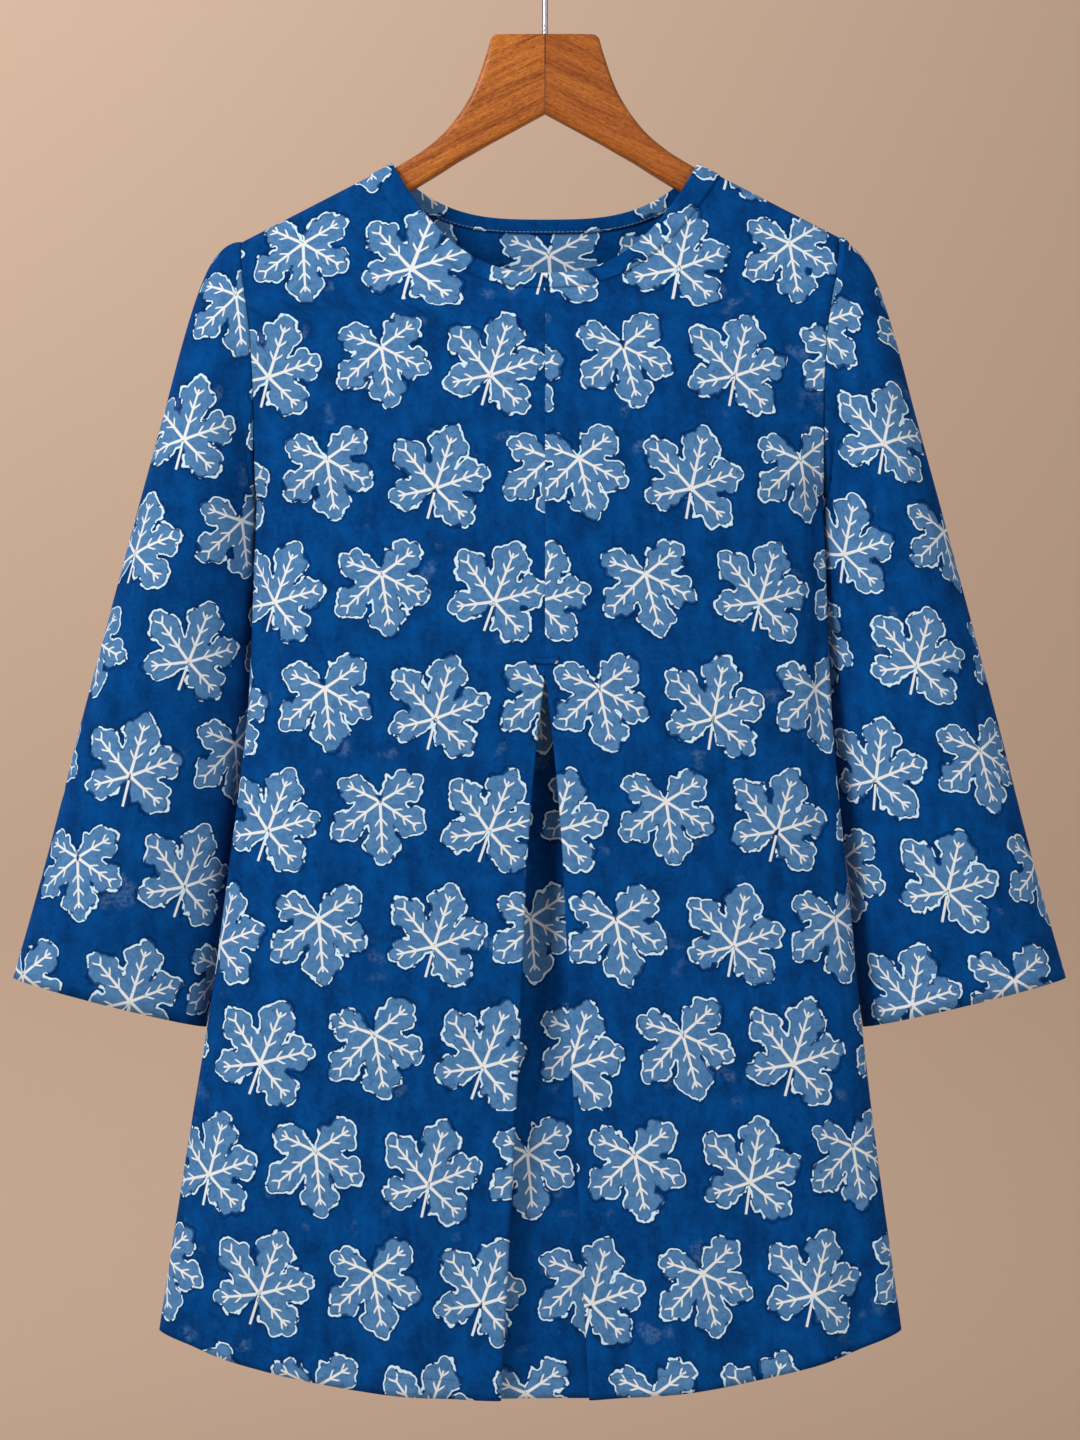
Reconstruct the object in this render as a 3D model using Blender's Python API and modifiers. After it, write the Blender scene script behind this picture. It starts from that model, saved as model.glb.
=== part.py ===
"""A women's tunic top hanging on a wooden hanger, in metres, +Z up and -Y the front.

The origin is the bearing point inside the top of the hanger's hook, where a rail carries it.
The sizes below are in millimetres and are turned into metres when a mesh is made.
The front hangs from the shoulder line as one piece of cloth, folded into an inverted pleat at
the centre. The back, the two sleeves, the neck band, the back neck facing and the bar tack are
separate pieces, a seam's gap apart.
"""

import math
from collections import namedtuple

import bmesh
import bpy
from mathutils import Vector

# Cloth
MM = 0.001
WALL = 1.2
TRIM_WALL = 1.0
SEAM_GAP = 0.3
SEAM_SET = 0.3  # from a seam's plane to the middle of a wall's edge, whose corner leans over it

# Shoulder line, from the neck point to the shoulder tip, the same on both sides
NECK_HALF = 103.4
NECK_POINT_Z = -155.1
TIP_HALF = 202.6
TIP_Z = -206.1
SHOULDER_SLOPE = (TIP_Z - NECK_POINT_Z) / (TIP_HALF - NECK_HALF)
CROWN_DEPTH = 10.3  # the cloth turns over the hanger's arm within this depth and height
CROWN_HEIGHT = 12.5

# Neckline, front and back: a higher power is flatter at the centre
FRONT_NECK_DROP = 76.5
FRONT_NECK_POWER = 2.5
BACK_NECK_DROP = 34.4
BACK_NECK_POWER = 3.2
BAND_WIDTH_SHOULDER = 17.0
BAND_WIDTH_CENTRE = 10.0
FACING_WIDTH_SHOULDER = 11.0
FACING_WIDTH_CENTRE = 9.5
BAND_STEPS = 36
FACING_STEPS = 28
FACING_LOOSE = 0.4  # it hangs this much further off the back than a seam's gap
FACING_REACH = 0.95  # of the half neckline: it stops short of the shoulder seam, where the arm lies

# Armhole
UNDERARM_Z = -381.0
ARMHOLE_FRONT_DEPTH = 26.0
ARMHOLE_BACK_DEPTH = 28.0
SLEEVE_STAND = 2.6  # the sleeve leaves the armhole straight out this far before it turns down

# Hem
CENTRE_HEM_Z = -987.0
HEM_RISE = 45.0
HEM_POWER = 2.4

# Roundness of the sides below the armhole: a higher power is squarer
FRONT_SIDE_POWER = 2.6
BACK_SIDE_POWER = 2.1
SIDE_CLOSES_ABOVE = 75.0  # above the underarm, where the side begins to turn round
SIDE_CLOSES_OVER = 60.0

# Inverted pleat
PLEAT_CLOTH = 112.0  # taken up between the two fold edges
TACK_Z = -492.0
TACK_WIDTH = 18.0
TACK_HEIGHT = 5.2

# Hanger
HOOK_WIRE_RADIUS = 1.9
HOOK_INNER_RADIUS = 17.5
HOOK_START_TURN = -55.0  # where the stem's bend joins the round of the hook, in degrees from +X
HOOK_END_TURN = 192.0
STEM_TOP_Z = -44.0
STEM_BEND = 5.0  # how far the bend pulls straight at each end
BLOCK_TOP_Z = -66.0
STEM_FOOT_Z = -86.0
STEM_CLEARANCE = 0.3

# The sway is how far the hanging cloth has swung to one side
Side = namedtuple("Side", "z half_width side_y sway")
SIDES = [
    Side(-150.0, 202.6, 0.0, 0.0),
    Side(-165.0, 202.6, 0.0, 0.0),
    Side(-206.1, 202.6, 0.0, -3.2),
    Side(-228.5, 200.9, 0.3, -4.0),
    Side(-250.0, 197.4, 0.6, -4.4),
    Side(-276.0, 194.2, 0.9, -4.5),
    Side(-330.0, 192.2, 1.5, -4.2),
    Side(-381.0, 192.4, 2.0, -3.7),
    Side(-425.0, 193.6, -3.0, -3.4),
    Side(-516.8, 196.9, -9.0, -3.5),
    Side(-584.8, 203.3, -11.0, -4.4),
    Side(-652.8, 211.0, -12.0, -5.3),
    Side(-720.8, 218.8, -12.0, -6.6),
    Side(-829.6, 233.9, -12.0, -9.0),
    Side(-943.0, 250.6, -12.0, -9.9),
    Side(-990.0, 257.0, -12.0, -10.2),
]

# How far the cloth stands before and behind the shoulder plane, at a drop below the line
Drape = namedtuple("Drape", "drop front back")
DRAPES = [
    Drape(0.0, 0.0, 0.0),
    Drape(12.0, 1.2, 1.0),
    Drape(40.0, 7.0, 6.0),
    Drape(100.0, 18.0, 16.0),
    Drape(180.0, 27.0, 26.0),
    Drape(300.0, 33.0, 33.0),
    Drape(500.0, 37.0, 37.0),
    Drape(830.0, 43.5, 42.0),
]

# Half the pleat's opening and the radius of its folds
Pleat = namedtuple("Pleat", "z half_open fold_radius")
PLEATS = [
    Pleat(-150.0, 0.75, 1.0),
    Pleat(-497.0, 0.75, 1.0),
    Pleat(-543.0, 5.2, 1.1),
    Pleat(-585.0, 9.4, 1.2),
    Pleat(-633.0, 12.7, 1.35),
    Pleat(-721.0, 16.2, 1.6),
    Pleat(-789.0, 19.6, 1.8),
    Pleat(-857.0, 23.0, 2.0),
    Pleat(-960.0, 28.4, 2.3),
    Pleat(-990.0, 30.0, 2.4),
]

# Rings of a sleeve: the outer and inner points, and half its depth before and behind
Ring = namedtuple("Ring", "outer_x outer_z outer_y inner_x inner_z inner_y front back")
RINGS = [
    Ring(211.5, -210.0, 0.0, 195.6, -384.5, 7.0, 28.0, 29.0),
    Ring(221.5, -220.0, 0.5, 193.6, -390.5, 13.0, 32.0, 31.0),
    Ring(231.0, -240.0, 1.5, 191.8, -399.0, 18.0, 35.0, 34.0),
    Ring(242.5, -276.0, 3.0, 190.6, -412.0, 21.0, 38.0, 36.0),
    Ring(255.0, -323.0, 4.0, 190.4, -432.0, 22.5, 40.0, 38.0),
    Ring(271.0, -381.0, 5.5, 191.4, -464.0, 23.0, 42.0, 39.0),
    Ring(290.0, -451.0, 7.0, 193.5, -508.0, 22.5, 42.0, 40.0),
    Ring(311.0, -530.0, 8.0, 198.0, -562.0, 21.0, 42.0, 39.0),
    Ring(332.5, -615.0, 8.0, 206.5, -632.0, 18.0, 40.0, 38.0),
    Ring(347.0, -668.0, 8.0, 215.5, -690.0, 14.5, 37.5, 37.0),
    Ring(358.5, -708.0, 8.0, 224.5, -741.5, 11.0, 35.0, 35.0),
]

# Heights of a hanger arm's top and bottom edges at a distance from the centre
Arm = namedtuple("Arm", "x top bottom half_thick")
ARMS = [
    Arm(0.15, -66.0, -120.4, 8.0),
    Arm(22.0, -66.0, -132.3, 8.0),
    Arm(33.0, -66.3, -138.3, 8.0),
    Arm(36.4, -68.6, -140.1, 8.0),
    Arm(38.8, -76.2, -141.4, 8.0),
    Arm(41.4, -84.5, -142.9, 8.1),
    Arm(45.0, -95.2, -145.0, 8.2),
    Arm(49.0, -105.0, -147.3, 8.3),
    Arm(54.6, -115.0, -150.4, 8.4),
    Arm(61.0, -124.3, -154.1, 8.5),
    Arm(69.5, -134.2, -159.6, 8.2),
    Arm(84.8, -146.6, -169.0, 7.8),
    Arm(103.4, -157.7, -179.8, 7.8),
    Arm(115.0, -163.7, -185.4, 8.0),
    Arm(124.0, -167.1, -189.4, 8.8),
    Arm(160.0, -185.6, -206.8, 8.6),
    Arm(184.0, -198.2, -217.0, 7.0),
    Arm(192.5, -204.0, -219.4, 5.6),
    Arm(196.5, -210.0, -216.6, 3.0),
]
ARM_SECTION_POWER = 2.7
ARM_SECTION_POINTS = 16

# Shares of the way down: from a panel's top edge to the underarm level, then to the hem
ARMHOLE_SHARES = [0.0, 0.003, 0.013, 0.034, 0.07, 0.15, 0.27, 0.42, 0.58, 0.73, 0.86, 0.955, 1.0]
SKIRT_SHARES = [0.09, 0.18, 0.235, 0.3, 0.39, 0.5, 0.61, 0.73, 0.86, 1.0]

# Columns of a panel, as shares of its half width at the shoulder line and from the underarm down
NECK_SHARE = NECK_HALF / TIP_HALF
Column = namedtuple("Column", "top below")
COLUMNS = [
    Column(0.2 * NECK_SHARE, 0.12),
    Column(0.4 * NECK_SHARE, 0.21),
    Column(0.58 * NECK_SHARE, 0.3),
    Column(0.74 * NECK_SHARE, 0.38),
    Column(0.86 * NECK_SHARE, 0.45),
    Column(0.94 * NECK_SHARE, 0.515),
    Column(0.98 * NECK_SHARE, 0.575),
    Column(NECK_SHARE, 0.635),
    Column(0.59, 0.695),
    Column(0.68, 0.755),
    Column(0.77, 0.81),
    Column(0.85, 0.86),
    Column(0.91, 0.905),
    Column(0.955, 0.945),
    Column(0.985, 0.978),
    Column(1.0, 1.0),
]
FOLD_TURN = math.sin(math.radians(45.0))


def along(rows, column, place):
    """The value of a table's column at a place between its rows, on a smooth curve with no overshoot."""
    rows = sorted(rows)
    places = [row[0] for row in rows]
    values = [getattr(row, column) for row in rows]
    if place <= places[0]:
        return values[0]
    if place >= places[-1]:
        return values[-1]
    steps = [b - a for a, b in zip(places, places[1:])]
    slopes = [(b - a) / step for a, b, step in zip(values, values[1:], steps)]
    turns = [slopes[0]]
    for before, after in zip(slopes, slopes[1:]):
        turns.append(2 * before * after / (before + after) if before * after > 0 else 0.0)
    turns.append(slopes[-1])
    i = max(k for k, start in enumerate(places[:-1]) if start <= place)
    s = (place - places[i]) / steps[i]
    return (
        values[i] * (1 + 2 * s) * (1 - s) ** 2
        + values[i + 1] * s * s * (3 - 2 * s)
        + turns[i] * steps[i] * s * (1 - s) ** 2
        + turns[i + 1] * steps[i] * s * s * (s - 1)
    )


def shoulder_z(x):
    """Height of the shoulder line, which rounds off to level over the neck opening."""
    past = abs(x) - NECK_HALF
    if past >= 0:
        return NECK_POINT_Z + SHOULDER_SLOPE * past
    return NECK_POINT_Z + SHOULDER_SLOPE * NECK_HALF / 2 * ((x / NECK_HALF) ** 2 - 1)


def stand_off(x, z, column):
    """How far the cloth stands from the shoulder plane at a point of the front or the back."""
    drop = max(shoulder_z(x) - z, 0.0)
    left = max(1 - drop / CROWN_HEIGHT, 0.0)
    crown = CROWN_DEPTH * (1 - left**ARM_SECTION_POWER) ** (1 / ARM_SECTION_POWER)
    return SEAM_SET + crown + along(DRAPES, column, drop)


def armhole_sine(x, z):
    """1 half way down the armhole and 0 at the shoulder line and the underarm."""
    top = shoulder_z(x)
    share = (top - z) / (top - UNDERARM_Z)
    return math.sqrt(max(1 - (1 - 2 * min(max(share, 0.0), 1.0)) ** 2, 0.0))


def edge_y(x, z, front):
    """Depth of a panel's side edge: the armhole, then the side seam."""
    depth = ARMHOLE_FRONT_DEPTH if front else ARMHOLE_BACK_DEPTH
    out = SEAM_SET + depth * armhole_sine(x, z)
    return along(SIDES, "side_y", z) + (-out if front else out)


def side_closing(z):
    """0 where the side is cut open for the arm, 1 where it turns round to the side seam."""
    closing = min(max((UNDERARM_Z + SIDE_CLOSES_ABOVE - z) / SIDE_CLOSES_OVER, 0.0), 1.0)
    return closing * closing * (3 - 2 * closing)


def side_weight(share, z, power):
    """How far a point has turned from the panel's face to its side edge."""
    share = min(abs(share), 1.0)
    closing = side_closing(z)
    round_side = 1 - (1 - share**power) ** (1 / power)
    return (1 - closing) * share**4 + closing * round_side


def panel_point(x, z, front, behind=0.0):
    """A point of the front or the back at a place seen from the front; behind moves it into the garment."""
    half = along(SIDES, "half_width", z)
    share = (x - along(SIDES, "sway", z)) / half
    if front:
        face = -stand_off(x, z, "front")
        weight = side_weight(share, z, FRONT_SIDE_POWER)
        inward = behind
    else:
        face = stand_off(x, z, "back")
        weight = side_weight(share, z, BACK_SIDE_POWER)
        inward = -behind
    return Vector((x, face * (1 - weight) + edge_y(x, z, front) * weight + inward, z))


def panel_normal(x, z, front):
    """The outward normal of the front or the back there."""
    step = 0.4
    centre = panel_point(x, z, front)
    across = centre - panel_point(x - math.copysign(step, x), z, front)
    down = panel_point(x, z - step, front) - centre
    normal = down.cross(across).normalized()
    return -normal if (normal.y > 0) == front else normal


def neck_z(x, drop, power):
    """Height of a neckline at a distance from the centre."""
    share = min(abs(x) / NECK_HALF, 1.0)
    return NECK_POINT_Z - drop * (1 - share**power)


def top_z(x, front):
    """Height of a panel's top edge: the neckline, then the shoulder line."""
    if abs(x) >= NECK_HALF:
        return shoulder_z(x)
    if front:
        return neck_z(x, FRONT_NECK_DROP, FRONT_NECK_POWER)
    return neck_z(x, BACK_NECK_DROP, BACK_NECK_POWER)


def hem_z(x):
    """Height of the hem, which rises towards the side seams."""
    share = min(abs(x - along(SIDES, "sway", CENTRE_HEM_Z)) / along(SIDES, "half_width", CENTRE_HEM_Z), 1.0)
    return CENTRE_HEM_Z + HEM_RISE * share**HEM_POWER


def column_points(place, front):
    """One column of a panel, top to bottom. place(z) gives its x and how far it lies behind the face."""
    top = TIP_Z
    foot = CENTRE_HEM_Z
    for _ in range(6):
        top = top_z(place(top)[0], front)
        foot = hem_z(place(foot)[0])
    heights = [top + (UNDERARM_Z - top) * share for share in ARMHOLE_SHARES]
    heights += [UNDERARM_Z + (foot - UNDERARM_Z) * share for share in SKIRT_SHARES]
    points = []
    for z in heights:
        x, behind = place(z)
        points.append(panel_point(x, z, front, behind))
    return points


def column_share(column, z):
    """A column's share of the half width at a height, spreading out from the shoulder to the underarm."""
    down = min(max((TIP_Z - z) / (TIP_Z - UNDERARM_Z), 0.0), 1.0)
    return column.top + (column.below - column.top) * down * down * (3 - 2 * down)


def pleat_places(z):
    """(x, behind) of the pleat's points at a height, from the left panel's fold to the underlay's middle."""
    half_open = along(PLEATS, "half_open", z)
    radius = along(PLEATS, "fold_radius", z)
    depth = (PLEAT_CLOTH - 2 * half_open) / 4
    turned = radius * (1 - FOLD_TURN)
    inner = half_open + depth
    return [
        (-half_open - radius, 0.0),
        (-half_open - turned, radius - radius * FOLD_TURN),
        (-half_open, radius),
        (-half_open - turned, radius + radius * FOLD_TURN),
        (-half_open - radius, 2 * radius),
        (-(half_open + inner) / 2, 2 * radius),
        (-inner + radius, 2 * radius),
        (-inner + turned, 3 * radius - radius * FOLD_TURN),
        (-inner, 3 * radius),
        (-inner + turned, 3 * radius + radius * FOLD_TURN),
        (-inner + radius, 4 * radius),
        (-inner / 2, 4 * radius),
    ]


def front_columns():
    """The front's columns from its left side, through the pleat, to its right side."""
    closed_fold = abs(pleat_places(NECK_POINT_Z)[0][0])

    def side_place(column, side):
        def place(z):
            fold = abs(pleat_places(z)[0][0])
            spread = (column_share(column, z) * TIP_HALF - closed_fold) / (TIP_HALF - closed_fold)
            return side * (fold + spread * (edge_x(z, side) - fold)), 0.0

        return place

    def pleat_place(index, side):
        def place(z):
            x, behind = pleat_places(z)[index]
            return -side * x, behind

        return place

    count = len(pleat_places(0.0))
    columns = [side_place(column, -1) for column in reversed(COLUMNS)]
    columns += [pleat_place(index, -1) for index in range(count)]
    columns += [lambda z: (0.0, 4 * along(PLEATS, "fold_radius", z))]
    columns += [pleat_place(index, 1) for index in reversed(range(count))]
    columns += [side_place(column, 1) for column in COLUMNS]
    return columns


def back_columns():
    def side_place(column, side):
        def place(z):
            return side * column_share(column, z) * edge_x(z, side), 0.0

        return place

    columns = [side_place(column, -1) for column in reversed(COLUMNS)]
    return columns + [side_place(column, 1) for column in [Column(0.0, 0.0)] + COLUMNS]


def edge_x(z, side):
    """How far a panel's side edge lies from the centre; side is 1 at +X and -1 at -X."""
    return along(SIDES, "half_width", z) + side * along(SIDES, "sway", z)


def armhole_loop(side):
    """The edge that a sleeve is sewn to: down the front from the shoulder tip, and up the back."""
    top = TIP_Z
    for _ in range(6):
        top = shoulder_z(edge_x(top, side))
    heights = [top + (UNDERARM_Z - top) * share for share in ARMHOLE_SHARES]
    down = [Vector((edge_x(z, side), edge_y(edge_x(z, side), z, True), z)) for z in heights]
    up = [Vector((edge_x(z, side), edge_y(edge_x(z, side), z, False), z)) for z in heights]
    down[0].y = up[0].y = 0.0
    down[-1].y = up[-1].y = along(SIDES, "side_y", UNDERARM_Z)
    return down + up[-2:0:-1]


def ring_points(ring, side):
    """A sleeve's ring, its points in the order of the armhole's."""
    outer_sway = side * along(SIDES, "sway", UNDERARM_Z)
    inner_sway = side * along(SIDES, "sway", ring.inner_z)
    outer = Vector((ring.outer_x + outer_sway, ring.outer_y, ring.outer_z))
    inner = Vector((ring.inner_x + inner_sway, ring.inner_y, ring.inner_z))
    turns = [math.acos(1 - 2 * share) for share in ARMHOLE_SHARES]
    turns += [2 * math.pi - turn for turn in turns[-2:0:-1]]
    points = []
    for turn in turns:
        depth = ring.front if turn < math.pi else ring.back
        point = inner.lerp(outer, (1 + math.cos(turn)) / 2)
        point.y -= depth * math.sin(turn)
        points.append(point)
    return points


def sleeve_rings(side):
    """The sleeve's rings from the armhole to the cuff."""
    loop = armhole_loop(side)
    gaps = [SEAM_GAP + 0.1 + (WALL / 2 + 0.2) * side_closing(edge.z) for edge in loop]
    start = [edge + Vector((gap, 0.0, 0.0)) for edge, gap in zip(loop, gaps)]
    stand = [point + Vector((SLEEVE_STAND, 0.0, 0.0)) for point in start]
    rings = [start, stand] + [ring_points(ring, side) for ring in RINGS]
    return [[Vector((side * point.x, point.y, point.z)) for point in ring] for ring in rings]


def neck_strip(front, shoulder_width, centre_width, lift, reach, steps):
    """A strip along a neckline, on the panel's own points moved out by lift."""
    drop = FRONT_NECK_DROP if front else BACK_NECK_DROP
    power = FRONT_NECK_POWER if front else BACK_NECK_POWER
    slant = math.atan(SHOULDER_SLOPE)
    outer_half = NECK_HALF + shoulder_width * math.cos(slant)
    outer_top = NECK_POINT_Z + shoulder_width * math.sin(slant)
    outer_drop = outer_top - (NECK_POINT_Z - drop - centre_width)
    rows = []
    for share in (0.0, 0.5, 1.0):
        points = []
        for step in range(steps + 1):
            sine = reach * math.sin(math.pi / 2 * (2 * step / steps - 1))
            x = sine * (NECK_HALF + share * (outer_half - NECK_HALF))
            top = NECK_POINT_Z + share * (outer_top - NECK_POINT_Z)
            z = top - (1 - abs(sine) ** power) * (drop + share * (outer_drop - drop))
            points.append(panel_point(x, z, front) + panel_normal(x, z, front) * lift)
        rows.append(points)
    return rows


def tack_patch():
    """The bar tack over the head of the pleat, on the front's own points moved out."""
    lift = WALL / 2 + SEAM_GAP + TRIM_WALL / 2
    rows = []
    for row in range(3):
        z = TACK_Z + TACK_HEIGHT * (0.5 - row / 2)
        xs = [TACK_WIDTH * (step / 6 - 0.5) for step in range(7)]
        rows.append([panel_point(x, z, True) + panel_normal(x, z, True) * lift for x in xs])
    return rows


def hook_path():
    """The wire's centre line: up from the block, out to one side, over the rail and down to the tip."""
    reach = HOOK_INNER_RADIUS + HOOK_WIRE_RADIUS
    start = math.radians(HOOK_START_TURN)
    end = math.radians(HOOK_END_TURN)
    joint = Vector((reach * math.cos(start), 0.0, -HOOK_INNER_RADIUS + reach * math.sin(start)))
    heading = Vector((-math.sin(start), 0.0, math.cos(start)))
    foot = Vector((0.0, 0.0, STEM_TOP_Z))
    points = [Vector((0.0, 0.0, STEM_FOOT_Z)), foot]
    bend = [foot, foot + Vector((0.0, 0.0, STEM_BEND)), joint - heading * STEM_BEND, joint]
    for step in range(1, 8):
        s = step / 8
        weights = [(1 - s) ** 3, 3 * s * (1 - s) ** 2, 3 * s * s * (1 - s), s**3]
        points.append(sum((point * weight for point, weight in zip(bend, weights)), Vector()))
    for step in range(25):
        turn = start + (end - start) * step / 24
        points.append(Vector((reach * math.cos(turn), 0.0, -HOOK_INNER_RADIUS + reach * math.sin(turn))))
    return points


def material(name, colour, roughness, metallic=0.0):
    made = bpy.data.materials.new(name)
    made.use_nodes = True
    shader = made.node_tree.nodes["Principled BSDF"]
    shader.inputs["Base Color"].default_value = (*colour, 1.0)
    shader.inputs["Roughness"].default_value = roughness
    shader.inputs["Metallic"].default_value = metallic
    made.diffuse_color = (*colour, 1.0)
    return made


def add_mesh(name, points, faces, look, collection):
    mesh = bpy.data.meshes.new(name)
    mesh.from_pydata([tuple(c * MM for c in point) for point in points], [], faces)
    mesh.shade_smooth()
    obj = bpy.data.objects.new(name, mesh)
    obj.data.materials.append(look)
    collection.objects.link(obj)
    return obj


def add_cloth(name, rows, closed, thickness, look, collection):
    """A grid of points made a cloth wall; closed joins each row's end to its start."""
    width = len(rows[0])
    faces = []
    for r in range(len(rows) - 1):
        for c in range(width if closed else width - 1):
            after = (c + 1) % width
            faces.append((r * width + c, r * width + after, (r + 1) * width + after, (r + 1) * width + c))
    obj = add_mesh(name, [point for row in rows for point in row], faces, look, collection)
    wall = obj.modifiers.new("wall", "SOLIDIFY")
    wall.thickness = thickness * MM
    wall.offset = 0.0
    wall.use_even_offset = True
    wall.use_quality_normals = True
    return obj


def arm_section(arm, side):
    """A closed rounded section across a hanger's arm."""
    middle = (arm.top + arm.bottom) / 2
    half_high = (arm.top - arm.bottom) / 2
    points = []
    for step in range(ARM_SECTION_POINTS):
        turn = 2 * math.pi * (step + 0.5) / ARM_SECTION_POINTS
        sine, cosine = math.sin(turn), math.cos(turn)
        y = math.copysign(abs(cosine) ** (2 / ARM_SECTION_POWER), cosine) * arm.half_thick
        z = math.copysign(abs(sine) ** (2 / ARM_SECTION_POWER), sine) * half_high
        points.append(Vector((side * arm.x, y, middle + z)))
    return points


def add_arm(name, side, look, collection, bore):
    sections = [arm_section(arm, side) for arm in ARMS]
    count = ARM_SECTION_POINTS
    faces = [tuple(range(count)), tuple(reversed(range((len(ARMS) - 1) * count, len(ARMS) * count)))]
    for s in range(len(ARMS) - 1):
        for p in range(count):
            after = (p + 1) % count
            faces.append((s * count + p, (s + 1) * count + p, (s + 1) * count + after, s * count + after))
    obj = add_mesh(name, [point for section in sections for point in section], faces, look, collection)
    shape = bmesh.new()
    shape.from_mesh(obj.data)
    bmesh.ops.recalc_face_normals(shape, faces=shape.faces)
    shape.to_mesh(obj.data)
    shape.free()
    obj.data.set_sharp_from_angle(angle=math.radians(50.0))
    cut = obj.modifiers.new("stem bore", "BOOLEAN")
    cut.object = bore
    return obj


def add_bore(cutters):
    """The hole in the block that takes the hook's stem, half in each arm."""
    depth = BLOCK_TOP_Z - STEM_FOOT_Z + STEM_CLEARANCE
    mesh = bpy.data.meshes.new("stem_bore")
    shape = bmesh.new()
    radius = (HOOK_WIRE_RADIUS + STEM_CLEARANCE) * MM
    bmesh.ops.create_cone(
        shape, cap_ends=True, segments=16, radius1=radius, radius2=radius, depth=2 * depth * MM
    )
    shape.to_mesh(mesh)
    shape.free()
    obj = bpy.data.objects.new("stem_bore", mesh)
    obj.location.z = BLOCK_TOP_Z * MM
    obj.hide_render = True
    obj.display_type = "WIRE"
    cutters.objects.link(obj)
    return obj


def add_hook(look, collection):
    curve = bpy.data.curves.new("hanger_hook", "CURVE")
    curve.dimensions = "3D"
    curve.bevel_depth = HOOK_WIRE_RADIUS * MM
    curve.bevel_resolution = 2
    curve.use_fill_caps = True
    curve.materials.append(look)
    path = hook_path()
    spline = curve.splines.new("POLY")
    spline.points.add(len(path) - 1)
    for knot, point in zip(spline.points, path):
        knot.co = (*(c * MM for c in point), 1.0)
    spline.use_smooth = True
    obj = bpy.data.objects.new("hanger_hook", curve)
    collection.objects.link(obj)
    return obj


def main():
    for obj in list(bpy.data.objects):
        bpy.data.objects.remove(obj, do_unlink=True)
    tunic = bpy.data.collections.new("tunic_top_on_hanger")
    cutters = bpy.data.collections.new("cutters")
    bpy.context.scene.collection.children.link(tunic)
    bpy.context.scene.collection.children.link(cutters)

    cotton = material("printed_cotton", (0.012, 0.075, 0.28), 0.85)
    trim = material("band_cotton", (0.012, 0.07, 0.26), 0.85)
    wood = material("oiled_wood", (0.36, 0.14, 0.045), 0.4)
    steel = material("hook_steel", (0.6, 0.6, 0.6), 0.25, 1.0)

    front = [column_points(place, True) for place in front_columns()]
    add_cloth("front_panel", front, False, WALL, cotton, tunic)
    back = [column_points(place, False) for place in back_columns()]
    add_cloth("back_panel", back, False, WALL, cotton, tunic)
    add_cloth("sleeve_right", sleeve_rings(1), True, WALL, cotton, tunic)
    add_cloth("sleeve_left", sleeve_rings(-1), True, WALL, cotton, tunic)

    lift = WALL / 2 + SEAM_GAP + TRIM_WALL / 2
    band = neck_strip(True, BAND_WIDTH_SHOULDER, BAND_WIDTH_CENTRE, lift, 1.0, BAND_STEPS)
    add_cloth("neck_band_front", band, False, TRIM_WALL, trim, tunic)
    inside = -(lift + FACING_LOOSE)
    widths = (FACING_WIDTH_SHOULDER, FACING_WIDTH_CENTRE)
    facing = neck_strip(False, *widths, inside, FACING_REACH, FACING_STEPS)
    add_cloth("neck_facing_back", facing, False, TRIM_WALL, trim, tunic)
    add_cloth("pleat_tack", tack_patch(), False, TRIM_WALL, trim, tunic)

    bore = add_bore(cutters)
    add_arm("hanger_arm_right", 1, wood, tunic, bore)
    add_arm("hanger_arm_left", -1, wood, tunic, bore)
    add_hook(steel, tunic)


main()
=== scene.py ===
import math
from collections import namedtuple

import bmesh
import bpy
import numpy as np
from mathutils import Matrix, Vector


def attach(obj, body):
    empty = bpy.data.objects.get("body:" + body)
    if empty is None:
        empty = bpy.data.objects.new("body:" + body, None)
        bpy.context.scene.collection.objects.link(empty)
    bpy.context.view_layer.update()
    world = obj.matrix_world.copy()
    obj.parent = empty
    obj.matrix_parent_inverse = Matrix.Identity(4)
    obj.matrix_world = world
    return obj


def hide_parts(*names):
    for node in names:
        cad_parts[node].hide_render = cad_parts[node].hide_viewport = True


# A printed cotton tunic top on a wooden hanger, seen from the front.
# Sizes below are in millimetres, +Z up and -Y the front; the meshes and the materials are in metres.

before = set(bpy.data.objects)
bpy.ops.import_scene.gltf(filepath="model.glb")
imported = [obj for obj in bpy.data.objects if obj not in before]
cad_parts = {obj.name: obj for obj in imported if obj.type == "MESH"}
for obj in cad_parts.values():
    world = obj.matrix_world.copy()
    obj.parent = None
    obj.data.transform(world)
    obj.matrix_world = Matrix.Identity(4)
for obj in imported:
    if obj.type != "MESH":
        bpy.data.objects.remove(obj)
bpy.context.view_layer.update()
mm = 0.001
print("frame loaded with", len(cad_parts), "nodes")


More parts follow.
